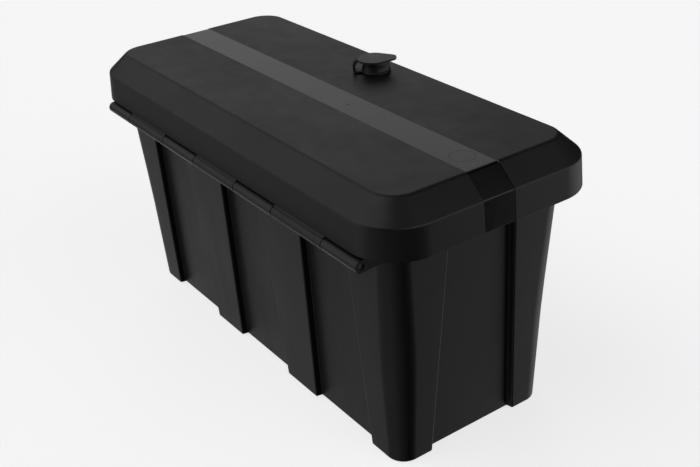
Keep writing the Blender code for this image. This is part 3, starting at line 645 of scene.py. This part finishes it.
def body_knuckle(low, high):
    """A barrel carried by a deep web, nearly level underneath, that runs in to the wall."""
    barrel = arc((HINGE_Y, HINGE_Z), KNUCKLE_RADIUS, -92, 100, 36)
    top = HINGE_Z + KNUCKLE_RADIUS - 0.0001
    outline = barrel + [
        (WEB_TOP[0], top),
        (WEB_TOP[1], top + 0.0028),
        (WEB_TOP[2], FLANGE_TOP - 0.0005),
        (WEB_ROOT[1], FLANGE_TOP - 0.0010),
        (WEB_ROOT[1], FLANGE_LOW + 0.0002),
        (WEB_ROOT[0], HINGE_Z - WEB_DROP),
    ]
    return prism(outline, low, high, "x", edge=0.00035, edge_steps=3)


def hinge_bore():
    return rod(PIN_BORE, HINGE_ENDS[0] - 0.01, HINGE_ENDS[1] + 0.01, (HINGE_Y, HINGE_Z), 32)


def make_lid(textured, polished):
    lid = add_mesh("lid_moulding", lid_mesh(), [textured, polished])
    tools = [(lid_knuckle(low, high), "UNION") for low, high in knuckle_spans(of_lid=True)]
    tools.append((hinge_bore(), "DIFFERENCE"))
    hole = rod(HOUSING_BARREL + 2 * GAP, SHOULDER, LID_TOP + 0.01, (LOCK.x, LOCK.y), 48, "z")
    tools.append((hole, "DIFFERENCE"))
    band = LID_TOP - BAND_DEPTH
    circle = ring_groove(GATE_RING_RADIUS, band, 0.00012, 72)
    tools.append((moved(circle, Matrix.Translation((*GATE_RING, 0.0))), "DIFFERENCE"))
    dimple = turned([(0.0002, band - 0.00018), (0.0010, band - 0.00012), (0.0017, band + 0.0001)], 32)
    tools.append((moved(dimple, Matrix.Translation((*GATE_MARK, 0.0))), "DIFFERENCE"))
    carve(lid, tools)
    dress(lid, "lid", ["lid_shell"])


# ---- body ----
def side_marks(pairs, share, inset, crest, recess):
    """Positions along a side where ribs start and stop, as (position, distance out, on the crest)."""
    marks = []
    for index, pair in enumerate(pairs):
        rising = index % 2 == 1
        place = lerp(pair, share) + (-inset if rising else inset)
        if rising:
            marks += [(place, recess, False), (place - FLANK, crest, True)]
        else:
            marks += [(place + FLANK, crest, True), (place, recess, False)]
    return marks


def body_outline(height, inset=0.0, plain=None):
    """One level of the body's wall. plain=(half_x, half_y, radius) gives a ring with no ribs."""
    share = height / FLANGE_LOW
    recess = [lerp((PANEL_LOW[axis], PANEL_HIGH[axis]), share) - inset for axis in (0, 1)]
    crest = [value + RIB_DEPTH for value in recess]
    corner = lerp(BODY_CORNER, share) - inset
    if plain:
        recess = crest = list(plain[:2])
        corner = plain[2]
    side = side_marks((COLUMN_EDGE, RIB_OUTER, RIB_INNER), share, inset, crest[1], recess[1])
    end = side_marks((END_COLUMN,), share, inset, crest[0], recess[0])
    side += [(-place, out, up) for place, out, up in reversed(side)]
    end += [(-place, out, up) for place, out, up in reversed(end)]
    edge = max(RIB_EDGE - inset, 0.0004)
    root = RIB_ROOT + inset * 0.5

    def bend(up):
        return (edge if up else root, 4)

    corners = [(crest[0], crest[1], corner, CORNER_STEPS)]
    corners += [(p, out, *bend(up)) for p, out, up in side]
    corners.append((-crest[0], crest[1], corner, CORNER_STEPS))
    corners += [(-out, p, *bend(up)) for p, out, up in end]
    corners.append((-crest[0], -crest[1], corner, CORNER_STEPS))
    corners += [(-p, -out, *bend(up)) for p, out, up in side]
    corners.append((crest[0], -crest[1], corner, CORNER_STEPS))
    corners += [(out, -p, *bend(up)) for p, out, up in end]
    return [(x, y + BODY_Y, height) for x, y in fillet(corners)]


def rim_outline(reach, height):
    """A plain ring that lies this far out from the middle of the upright rim."""
    radius = RIM_CORNER + reach * (BODY_CORNER[1] + FLANGE_REACH - RIM_CORNER) / FLANGE
    return body_outline(height, plain=(RIM_HALF[0] + reach, RIM_HALF[1] + reach, radius))


def body_mesh():
    rings = []
    for step in range(6):
        a = radians(90 * step / 5)
        rings.append(body_outline(FOOT_EDGE * (1 - cos(a)), FOOT_EDGE * (1 - sin(a))))
    levels = 7
    rings += [body_outline(FLANGE_LOW * level / levels) for level in range(1, levels + 1)]
    half = BODY_WALL / 2
    rim = fillet([
        (FLANGE - 0.0030, FLANGE_LOW, 0, 0),
        (FLANGE, FLANGE_LOW, 0.0008, 3),
        (FLANGE, FLANGE_TOP, 0.0008, 3),
        (half, FLANGE_TOP, 0.0010, 3),
        (half, RIM_TOP, 0.0007, 3),
        (-half, RIM_TOP, 0.0007, 3),
        (-half, FLANGE_LOW, 0, 0),
    ], closed=False)
    rings += [rim_outline(reach, height) for reach, height in rim[1:]]
    inner_low = 0.0022
    rings += [body_outline(FLANGE_LOW - LEDGE, BODY_WALL)]
    rings += [body_outline(FLANGE_LOW * level / levels, BODY_WALL) for level in range(levels - 1, 0, -1)]
    for step in range(5):
        a = radians(90 * step / 4)
        inset = BODY_WALL + inner_low * (1 - cos(a))
        rings.append(body_outline(FLOOR_THICK + inner_low * (1 - sin(a)), inset))
    return loft(rings)


def anchor_outline(middle_y, room):
    """The rounded outline of an anchor's boss, or with some room, of the mat's window round it."""
    corners = rectangle(BOSS_HALF[0] + room, BOSS_HALF[1] + room)
    return fillet([(x, y + middle_y, 0.002, 4) for x, y in corners])


def grommet_places():
    """The matrices that put the two grommets into the far end's wall."""
    share = GROMMET_HEIGHT / FLANGE_LOW
    middle = lerp((PANEL_LOW[0], PANEL_HIGH[0]), share) - BODY_WALL / 2
    lean = atan2(PANEL_HIGH[0] - PANEL_LOW[0], FLANGE_LOW)
    turn = Matrix.Rotation(pi / 2 + lean, 4, "Y")
    return [(name, Matrix.Translation((middle, BODY_Y + y, GROMMET_HEIGHT)) @ turn)
            for name, y in (("front", -0.020), ("rear", 0.020))]


def make_body(plastic):
    body = add_mesh("body_moulding", body_mesh(), [plastic])
    tools = [(body_knuckle(low, high), "UNION") for low, high in knuckle_spans(of_lid=False)]
    tools.append((hinge_bore(), "DIFFERENCE"))
    for side in (-1, 1):
        y = BODY_Y + side * ANCHOR_Y
        boss = prism(anchor_outline(y, 0.0), FLOOR_THICK - 0.001, BOSS_TOP, edge=0.0003)
        tools.append((boss, "UNION"))
        for hand in (-1, 1):
            centre = (hand * ANCHOR_SCREW, y)
            hole = rod(ANCHOR_HOLE, FLOOR_THICK + 0.001, BOSS_TOP + 0.005, centre, 24, "z")
            tools.append((hole, "DIFFERENCE"))
    rim_front = BODY_Y - RIM_HALF[1] + BODY_WALL / 2
    for hand in (-1, 1):
        centre = (LOCK.x + hand * KEEPER_HOLE[0], KEEPER_HOLE[1])
        hole = rod(KEEPER_RIVET_HOLE, rim_front - 0.008, rim_front + 0.005, centre, 24, "y")
        tools.append((hole, "DIFFERENCE"))
    for _, place in grommet_places():
        hole = rod(GROMMET_RADIUS, -0.01, 0.01, (0.0, 0.0), 64, "z")
        tools.append((moved(hole, place), "DIFFERENCE"))
    drain = rod(DRAIN_HOLE, -0.001, FLOOR_THICK + 0.001, (DRAIN_X, BODY_Y), 40, "z")
    tools.append((drain, "DIFFERENCE"))
    carve(body, tools)
    dress(body, "body", ["box_body"])


def make_hinge_pin(steel):
    low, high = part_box("hinge_pin")
    axis = (HINGE_Y, HINGE_Z)
    pin = add_mesh("hinge_pin_rod", rod(PIN_RADIUS, low.x, high.x, axis, 40, edge=0.0006), [steel])
    dress(pin, "body", ["hinge_pin"])


def make_seal(material):
    """A rubber channel with a soft round bulb along its top."""
    half = BODY_WALL / 2
    low = SEAL[0].z
    top = SEAL[1].z
    grip = half + GAP
    outer = grip + 0.0015
    section = fillet([
        (-outer, low, 0.0003, 2), (-outer, top, 0.0018, 6),
        (outer, top, 0.0018, 6), (outer, low, 0.0003, 2),
        (grip, low, 0, 0), (grip, RIM_TOP + GAP, 0, 0),
        (-grip, RIM_TOP + GAP, 0, 0), (-grip, low, 0, 0),
    ])
    rings = []
    for reach, height in section:
        corners = rectangle(RIM_HALF[0] + reach, RIM_HALF[1] + reach)
        outline = fillet([(x, y, RIM_CORNER + reach, CORNER_STEPS) for x, y in corners])
        rings.append([(x, y + BODY_Y, height) for x, y in outline])
    seal = add_mesh("seal_channel", loft(rings, closed=True), [material])
    dress(seal, "body", ["rim_seal"])


# ---- lock and dust cap ----
def on_lock(bm):
    """Stand a piece that is modelled about its own origin on the lid over the lock."""
    return moved(bm, Matrix.Translation(LOCK) @ Matrix.Rotation(CAP_TURN, 4, "Z"))


def cap_strap_outline():
    """The strap's section: out along the lid from the collar, round, and up to the cap's edge."""
    low_mid = 0.0013
    turn_mid = 0.0042
    top_mid = COLLAR_HEIGHT + GAP + CAP_THICK / 2
    half = CAP_THICK / 2
    root = COLLAR_WAIST[0] - 0.0015
    end = CAP_BACK + GAP
    reach = CAP_STRAP - half
    bend = 0.0028
    middle = [(root, low_mid)]
    for step in range(9):
        a = radians(-90 + 90 * step / 8)
        middle.append((reach - bend + bend * cos(a), turn_mid + (turn_mid - low_mid) * sin(a)))
    for step in range(1, 17):
        a = radians(90 * step / 16)
        middle.append((end + (reach - end) * cos(a), turn_mid + (top_mid - turn_mid) * sin(a)))
    outer, inner = [], []
    for index, (y, z) in enumerate(middle):
        along = direction_at(middle, index)
        outer.append((y + along.y * half, z - along.x * half))
        inner.append((y - along.y * half, z + along.x * half))
    outer[-1] = (end, top_mid + half)
    inner[-1] = (end, top_mid - half)
    return outer + inner[::-1]


def make_collar(material):
    """The rubber collar round the lock's head, with its strap, its groove and its dimple."""
    bore = HOUSING_HEAD + GAP
    foot = COLLAR_FOOT
    waist_low, waist_high = COLLAR_WAIST
    profile = [
        (bore, GAP), (foot - 0.0003, GAP), (foot, GAP + 0.0003), (foot, 0.0018), (foot - 0.0004, 0.0023),
        (waist_low - 0.0002, 0.0025), (waist_low - 0.0005, 0.0028), (waist_low - 0.0002, 0.0031),
    ]
    for step in range(9):
        draw_in = (waist_low - waist_high) * sin(pi / 2 * step / 8)
        profile.append((waist_low - draw_in, 0.0034 + 0.0056 * step / 8))
    profile += [(waist_high + 0.0003 * sin(pi * step / 6), 0.0092 + 0.0014 * step / 6) for step in range(7)]
    profile += [
        (waist_high - 0.0002, COLLAR_HEIGHT - 0.0003), (waist_high - 0.0006, COLLAR_HEIGHT),
        (bore + 0.0003, COLLAR_HEIGHT), (bore, COLLAR_HEIGHT - 0.0003),
    ]
    collar = add_mesh("collar_rubber_painted_shade", on_lock(turned(profile, 96, ring=True)), [material])
    half = CAP_STRAP_WIDTH / 2
    strap = prism(cap_strap_outline(), -half, half, "x", edge=0.0004, edge_steps=3)
    facing = radians(145) - CAP_TURN
    reach = waist_high + 0.0001
    spot = Matrix.Translation((reach * cos(facing), reach * sin(facing), 0.0062))
    turn = Matrix.Rotation(facing, 4, "Z") @ Matrix.Rotation(pi / 2, 4, "Y")
    dimple = turned([(0.0004, 0.0), (0.0008, 0.0), (0.0011, 0.0006), (0.0011, 0.0030)], 24)
    dimple = moved(dimple, Matrix.Translation((0, 0, -0.0004)))
    carve(collar, [(on_lock(strap), "UNION"), (on_lock(moved(dimple, spot @ turn)), "DIFFERENCE")])
    dress(collar, "lid", ["cap_collar"])


def make_cap(material):
    """A flat drop-shaped cap with a pull tab and a plug under it."""
    low = COLLAR_HEIGHT + GAP
    top = low + CAP_THICK
    tab = 0.0078
    half = CAP_STRAP_WIDTH / 2
    outline = hull(
        arc((0.0, CAP_SHIFT), CAP_RADIUS, 0, 357, 119)
        + arc((0.0, tab - CAP_TAB), tab, 180, 360, 30)
        + [(-half, CAP_BACK), (half, CAP_BACK)]
    )
    plate = prism(outline, low, top, edge=0.00055, edge_steps=4)
    cap = add_mesh("cap_rubber_plate", on_lock(plate), [material])
    plug = turned([(0.0078, low - 0.0020), (0.0082, low - 0.0019), (0.0090, low - 0.0011),
                   (0.0090, low + 0.0010)], 64)
    carve(cap, [(on_lock(plug), "UNION")])
    dress(cap, "dust_cap", ["dust_cap"])


def make_lock_housing(steel):
    """A threaded barrel through the lid, with a round head and a bore for the core."""
    head = 0.0085
    bore = 0.0059
    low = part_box("lock_housing")[0].z - LID_TOP
    threads = []
    pitch = 0.0012
    crest = HOUSING_BARREL
    root = HOUSING_BARREL - 0.0005
    count = int((-0.0040 - low) / pitch)
    for turn in range(count):
        z = low + 0.0008 + pitch * turn
        threads += [(root, z), (crest, z + 0.35 * pitch), (crest, z + 0.5 * pitch), (root, z + 0.85 * pitch)]
    profile = [(bore, low), (root, low)] + threads
    profile += [(HOUSING_BARREL, threads[-1][1] + 0.0008), (HOUSING_BARREL, GAP)]
    profile += [(HOUSING_HEAD - 0.0002, GAP), (HOUSING_HEAD, GAP + 0.0002), (HOUSING_HEAD, head - 0.0009)]
    edge = 0.0008
    for turn in (20, 45, 70, 90):
        a = radians(turn)
        profile.append((HOUSING_HEAD - edge * (1 - cos(a)), head - edge + edge * sin(a)))
    profile += [(bore + 0.0004, head), (bore, head - 0.0004)]
    barrel = moved(turned(profile, 64, ring=True), Matrix.Translation(LOCK))
    housing = add_mesh("lock_barrel_case", barrel, [steel])
    dress(housing, "lid", ["lock_housing"])


def make_lock_core(chrome):
    """The turning core, with a blind key slot in its face and a ring cut round the slot."""
    place = Matrix.Translation(LOCK)
    core_low, core_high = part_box("lock_core")
    radius = core_high.x - LOCK.x
    bottom = core_low.z - LID_TOP
    face = core_high.z - LID_TOP
    profile = [
        (radius - 0.0012, bottom), (radius, bottom + 0.0012),
        (radius, face - 0.0006), (radius - 0.0002, face - 0.0002), (radius - 0.0006, face),
    ]
    core = add_mesh("lock_core_face", moved(turned(profile, 64), place), [chrome])
    slot = block((-0.0009, -0.0038, -0.006), (0.0009, 0.0038, 0.02))
    step = block((-0.0018, -0.0012, face - 0.0016), (0.0018, 0.0006, 0.02))
    hole = rod(0.0020, CAM_BOTTOM - 0.002 - LID_TOP, CAM_BOTTOM + 0.013 - LID_TOP, (0.0, 0.0), 24, "z")
    groove = ring_groove(radius - 0.0012, face, 0.0002, 64)
    carve(core, [(moved(tool, place), "DIFFERENCE") for tool in (slot, step, hole, groove)])
    dress(core, "lock_barrel", ["lock_core"])


# ---- inside the box ----
def make_floor_mat(material):
    """A ribbed rubber mat with openings for the anchor bosses and the drain plug."""
    low, high = FLOOR_MAT
    pitch = 0.0080
    groove = 0.0009
    half_x = (high.x - low.x) / 2
    half_y = (high.y - low.y) / 2
    rounded = fillet([(x, y, 0.018, 12) for x, y in rectangle(half_x, half_y)])
    outline = [(x, y + BODY_Y) for x, y in rounded]
    mat = add_mesh("mat_ribbed", prism(outline, low.z, high.z, edge=0.0004), [material])
    count = int(2 * (half_x - 0.012) / pitch)
    grooves = []
    for index in range(count + 1):
        x = (index - count / 2) * pitch
        section = [
            (x - 0.0016, high.z + 0.001), (x - 0.0012, high.z - groove),
            (x + 0.0012, high.z - groove), (x + 0.0016, high.z + 0.001),
        ]
        reach = half_y - 0.008 - max(0.0, abs(x) - (half_x - 0.022))
        grooves.append(prism(section, BODY_Y - reach, BODY_Y + reach, "y"))
    tools = [(merged(*grooves), "DIFFERENCE")]
    for side in (-1, 1):
        window = anchor_outline(BODY_Y + side * ANCHOR_Y, 0.001)
        tools.append((prism(window, 0.0, high.z + 0.002), "DIFFERENCE"))
    tools.append((rod(DRAIN_WINDOW, 0.0, high.z + 0.002, (DRAIN_X, BODY_Y), 48, "z"), "DIFFERENCE"))
    carve(mat, tools)
    dress(mat, "body", ["floor_mat"])


def make_strap(material, thread):
    """Woven webbing with ribs across it, level through the buckle and under each anchor."""
    low, high = STRAP
    thick = 0.0014
    run_low = low.z
    run_high = high.z - thick
    reach = (high.y - low.y) / 2
    half_run = [(reach, run_high), (ANCHOR_Y - 0.0110, run_high), (ANCHOR_Y - 0.0190, run_low)]
    line = [(-y, z, 0.004, 6) for y, z in half_run] + [(y, z, 0.004, 6) for y, z in reversed(half_run)]
    line = fillet(line, closed=False)
    lengths = [0.0]
    for first, second in zip(line, line[1:]):
        lengths.append(lengths[-1] + hypot(second[0] - first[0], second[1] - first[1]))
    rib = 0.0021
    depth = 0.00011
    stations = int(ceil(lengths[-1] / 0.00035))
    across = 18
    half = (high.x - low.x) / 2
    rings = []
    at = 0
    for index in range(stations + 1):
        far = lengths[-1] * index / stations
        while at < len(lengths) - 2 and lengths[at + 1] < far:
            at += 1
        share = (far - lengths[at]) / max(lengths[at + 1] - lengths[at], 1e-9)
        first = Vector(line[at])
        second = Vector(line[at + 1])
        middle = first.lerp(second, share)
        along = (second - first).normalized()
        wave = depth * (1 - cos(2 * pi * far / rib)) / 2
        ring = []
        for side in (-1, 1):
            for column in range(across + 1):
                s = -1 + 2 * column / across
                x = -side * s * half
                edge = 1 - abs(s) ** 14 * 0.75
                lift = thick / 2 * edge - wave
                offset = thick / 2 + side * lift
                ring.append((x, middle.x - along.y * offset + BODY_Y, middle.y + along.x * offset))
        rings.append(ring)
    strap = add_mesh("strap_webbing", loft(rings), [material])
    dress(strap, "body", ["hold_down_strap"], sharp=70)
    stitches = []
    for side in (-1, 1):
        for row in range(3):
            y = BODY_Y + side * (ANCHOR_Y - 0.0238 - 0.0040 * row)
            for column in range(9):
                x = (column - 4) * 0.0038
                top = run_low + thick
                stitches.append(stitch((x - 0.0012, y, top), (x + 0.0012, y, top)))
    seams = add_mesh("strap_stitches", merged(*stitches), [thread])
    dress(seams, "body")


def stitch(first, last):
    """One visible stitch, a short thread that dips into the cloth at both ends."""
    first, last = Vector(first), Vector(last)
    along = (last - first).normalized()
    side = along.cross(Vector((0, 0, 1)))
    rings = []
    for step in range(7):
        share = step / 6
        lift = 0.00016 * sin(pi * share) - 0.00012
        radius = 0.00028 * (0.55 + 0.45 * sin(pi * share))
        middle = first.lerp(last, share) + Vector((0, 0, lift))
        rings.append([middle + side * radius * cos(a) + Vector((0, 0, radius * sin(a)))
                      for a in (2 * pi * n / 8 for n in range(8))])
    return loft(rings)


def make_drain_plug(material):
    low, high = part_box("drain_plug")
    seat = FLOOR_THICK + GAP
    head = 0.0110
    stem = DRAIN_HOLE - GAP
    profile = [
        (0.0058, low.z), (0.0063, low.z + 0.0005), (stem, seat - 0.0012), (stem, seat),
        (head - 0.0002, seat), (head, seat + 0.0003), (head, high.z - 0.0008),
        (head - 0.0004, high.z - 0.0002), (head - 0.0010, high.z), (0.0078, high.z),
        (0.0072, high.z - 0.0006), (0.0044, high.z - 0.0007),
    ]
    plug = moved(turned(profile, 64), Matrix.Translation((DRAIN_X, BODY_Y, 0.0)))
    plug = add_mesh("drain_plug_moulded", plug, [material])
    grip = [(DRAIN_X + x, BODY_Y + y, 0.0006, 3) for x, y in rectangle(0.0040, 0.0009)]
    bar = prism(fillet(grip), high.z - 0.0015, high.z, edge=0.0002)
    carve(plug, [(bar, "UNION")])
    dress(plug, "drain_plug", ["drain_plug"])


def make_grommet(name, place, material):
    half = BODY_WALL / 2
    waist = GROMMET_RADIUS - GAP
    lip = GROMMET_RADIUS + 0.0028
    bore = 0.0060
    upper = [
        (bore, half + 0.0030, 0.0008, 3), (waist, half + 0.0030, 0.0008, 3),
        (lip, half + 0.0015, 0.0006, 3), (lip, half + GAP, 0.0003, 2), (waist, half + GAP, 0, 0),
    ]
    lower = [(r, -z, bend, steps) for r, z, bend, steps in reversed(upper)]
    ring = moved(turned(fillet(upper + lower), 64, ring=True), place)
    grommet = add_mesh(f"lead_grommet_{name}_moulded", ring, [material])
    dress(grommet, "body", [f"lead_grommet_{name}"])


def cross_recess(centre, low, high):
    """A cross-head recess between two heights, as two crossed bars to cut away."""
    x, y = centre
    bars = [block((x - a, y - b, low), (x + a, y + b, high)) for a, b in (RECESS, reversed(RECESS))]
    return [(bar, "DIFFERENCE") for bar in bars]


def make_fittings(steel, bright):
    """The small steel pieces: their edges are broken, and the screws get cross recesses."""
    for side, sign in (("front", -1), ("rear", 1)):
        bevelled(f"strap_anchor_{side}", "body", steel, 0.00035)
        for hand, turn in (("left", -1), ("right", 1)):
            node = f"anchor_screw_{side}_{hand}"
            centre = (turn * ANCHOR_SCREW, BODY_Y + sign * ANCHOR_Y)
            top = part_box(node)[1].z
            cross = cross_recess(centre, top - RECESS_DEPTH, top + 0.002)
            bevelled(node, "body", bright, 0.0002, 2, tools=cross)
    bevelled("keeper_plate", "body", steel)
    for hand in ("left", "right"):
        bevelled(f"keeper_rivet_{hand}", "body", bright, 0.0002, 2)
    bevelled("buckle_frame", "body", steel)
    bevelled("buckle_pin", "body", bright)
    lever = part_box("buckle_lever")[1]
    half = 0.0005
    grooves = []
    for index in range(5):
        y = lever.y - 0.0060 - index * 0.0022
        grooves.append(block((-0.0150, y - half, lever.z - 0.0004), (0.0150, y + half, lever.z + 0.002)))
    bevelled("buckle_lever", "buckle_lever", steel, tools=[(merged(*grooves), "DIFFERENCE")])
    bevelled("lock_washer", "lid", bright, 0.0002, 2)
    bevelled("lock_nut", "lid", bright, 0.0003, 2, 28)
    bevelled("lock_cam", "lock_barrel", steel)
    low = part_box("cam_screw")[0].z
    cross = cross_recess((LOCK.x, LOCK.y), low - 0.002, low + RECESS_DEPTH)
    bevelled("cam_screw", "lock_barrel", bright, 0.0002, 2, tools=cross)


# ---- studio ----
CAMERA_PLACE = Vector((-0.8688, 0.5545, 0.6722))
CAMERA_AZIMUTH = radians(-33.915)  # heading of the line of sight, from +X
CAMERA_TILT = radians(-28.42)
CAMERA_ROLL = radians(-3.50)
CAMERA_LENS = 55.72
FLOOR_SIZE = 6.0
FLOOR_GLOW = 0.72
BACKDROP_GLOW = 0.97
AMBIENT = 0.004
PATCH_CORE = 8.0  # degrees from a patch's middle within which it is at full strength
# soft patches of light round the object: azimuth, elevation, outer edge from the middle, strength
PATCHES = (
    (-10.0, -35.0, 38.0, 0.69),
    (80.0, -35.0, 38.0, 0.22),
    (124.0, -35.0, 38.0, 0.16),
    (-100.0, -35.0, 38.0, 0.65),
    (-120.0, 0.0, 30.0, 0.84),
    (60.0, 0.0, 30.0, 0.85),
    (-30.0, 28.0, 32.0, 0.53),
    (-150.0, 28.0, 32.0, 0.66),
    (180.0, 28.0, 32.0, 0.80),
    (30.0, 28.0, 32.0, 0.66),
    (70.0, 58.0, 32.0, 1.05),
)


def heading(azimuth, elevation):
    return Vector((cos(azimuth) * cos(elevation), sin(azimuth) * cos(elevation), sin(elevation)))


def make_camera():
    aim = heading(CAMERA_AZIMUTH, CAMERA_TILT)
    level = aim.to_track_quat("-Z", "Y").to_matrix().to_4x4()
    data = bpy.data.cameras.new("camera")
    data.lens = CAMERA_LENS
    data.sensor_width = 36.0
    data.clip_end = 50.0
    camera = bpy.data.objects.new("camera", data)
    camera.matrix_world = Matrix.Translation(CAMERA_PLACE) @ level @ Matrix.Rotation(CAMERA_ROLL, 4, "Z")
    bpy.context.scene.collection.objects.link(camera)
    bpy.context.scene.camera = camera


def make_world():
    """A dark surround with soft patches of light, found from the direction of each ray."""
    world = bpy.data.worlds.new("studio")
    bpy.context.scene.world = world
    world.use_nodes = True
    tree = world.node_tree
    direction = tree.nodes.new("ShaderNodeTexCoord").outputs["Generated"]
    total = None
    for azimuth, elevation, edge, strength in PATCHES:
        facing = tree.nodes.new("ShaderNodeVectorMath")
        facing.operation = "DOT_PRODUCT"
        facing.inputs[1].default_value = heading(radians(azimuth), radians(elevation))
        tree.links.new(direction, facing.inputs[0])
        patch = tree.nodes.new("ShaderNodeMapRange")
        patch.interpolation_type = "SMOOTHSTEP"
        patch.inputs["From Min"].default_value = cos(radians(edge))
        patch.inputs["From Max"].default_value = cos(radians(PATCH_CORE))
        patch.inputs["To Max"].default_value = strength
        tree.links.new(facing.outputs["Value"], patch.inputs["Value"])
        joined = tree.nodes.new("ShaderNodeMath")
        joined.inputs[0].default_value = AMBIENT
        if total is not None:
            tree.links.new(total, joined.inputs[0])
        tree.links.new(patch.outputs["Result"], joined.inputs[1])
        total = joined.outputs[0]
    tree.links.new(total, tree.nodes["Background"].inputs["Strength"])
    tree.nodes["Background"].inputs["Color"].default_value = (1.0, 1.0, 1.0, 1.0)


def add_softbox(name, place, aim, size, power):
    light = bpy.data.lights.new(name, "AREA")
    light.shape = "RECTANGLE"
    light.size, light.size_y = size
    light.energy = power
    made = bpy.data.objects.new(name, light)
    made.location = place
    made.rotation_euler = (Vector(aim) - Vector(place)).to_track_quat("-Z", "Y").to_euler()
    bpy.context.scene.collection.objects.link(made)


def glowing(name, glow, albedo):
    g = Graph(name)
    g.set(Base_Color=grey(albedo), Roughness=0.9, Specular_IOR_Level=0.0)
    g.set(Emission_Color=grey(1.0), Emission_Strength=glow)
    return g.material


def make_stage():
    """A pale floor and a pale surround, seen by the camera but not lighting the object."""
    disc = turned([(FLOOR_SIZE, -0.02), (FLOOR_SIZE, -0.0003)], 96)
    floor = add_mesh("studio_floor", disc, [glowing("floor_paint", FLOOR_GLOW, 0.55)])
    ball = bmesh.new()
    bmesh.ops.create_icosphere(ball, subdivisions=4, radius=FLOOR_SIZE * 1.5)
    dome = add_mesh("studio_surround", ball, [glowing("surround_paint", BACKDROP_GLOW, 0.0)])
    dome.data.shade_smooth()
    for piece in (floor, dome):
        piece.visible_diffuse = False
        piece.visible_glossy = False
        piece.visible_transmission = False
        piece.visible_shadow = False


def main():
    lid_plastic = moulded_plastic("lid_plastic", 0.0032, 0.47, 0.00085, 0.000030)
    body_plastic = moulded_plastic("body_plastic", 0.0032, 0.41, 0.00080, 0.000024)
    band_plastic = polished_plastic("band_plastic", 0.0040, 0.19)
    black_rubber = rubber("black_rubber", 0.012, 0.62)
    mat_rubber = rubber("mat_rubber", 0.010, 0.70, 0.0008, 0.00006, 0.6)
    # The cap and collar are one rubber in two tones: the cap is painted lighter for the light on its top,
    # and the collar is painted darker for the shade on its waist.
    cap_rubber = rubber("cap_rubber", 0.024, 0.42, 0.0004, 0.00001, 0.2)
    collar_rubber_painted_shade = rubber("collar_rubber_painted_shade", 0.007, 0.52, 0.0004, 0.00001, 0.15)
    steel = plated_steel("zinc_steel", 0.55, 0.36)
    dull = plated_steel("dull_zinc", 0.16, 0.50, (120.0, 700.0, 700.0))
    bright = plated_steel("bright_zinc", 0.62, 0.26, (300.0, 300.0, 300.0), 0.05)
    chrome = plated_steel("chrome", 0.66, 0.14, (500.0, 500.0, 60.0), -0.01)
    webbing = webbing_material()
    thread = rubber("thread", 0.05, 0.8, 0.0002, 0.00002, 0.3)
    make_body(body_plastic)
    make_lid(lid_plastic, band_plastic)
    make_hinge_pin(dull)
    make_seal(black_rubber)
    make_lock_housing(bright)
    make_lock_core(chrome)
    make_collar(collar_rubber_painted_shade)
    make_cap(cap_rubber)
    make_floor_mat(mat_rubber)
    make_drain_plug(black_rubber)
    for name, place in grommet_places():
        make_grommet(name, place, black_rubber)
    make_fittings(steel, bright)
    make_strap(webbing, thread)
    make_camera()
    make_world()
    add_softbox("overhead", (0.5, -0.5, 1.9), (0.0, 0.0, 0.2), (1.6, 1.4), 0.5)
    make_stage()
    bpy.context.scene.view_settings.view_transform = "Standard"


main()
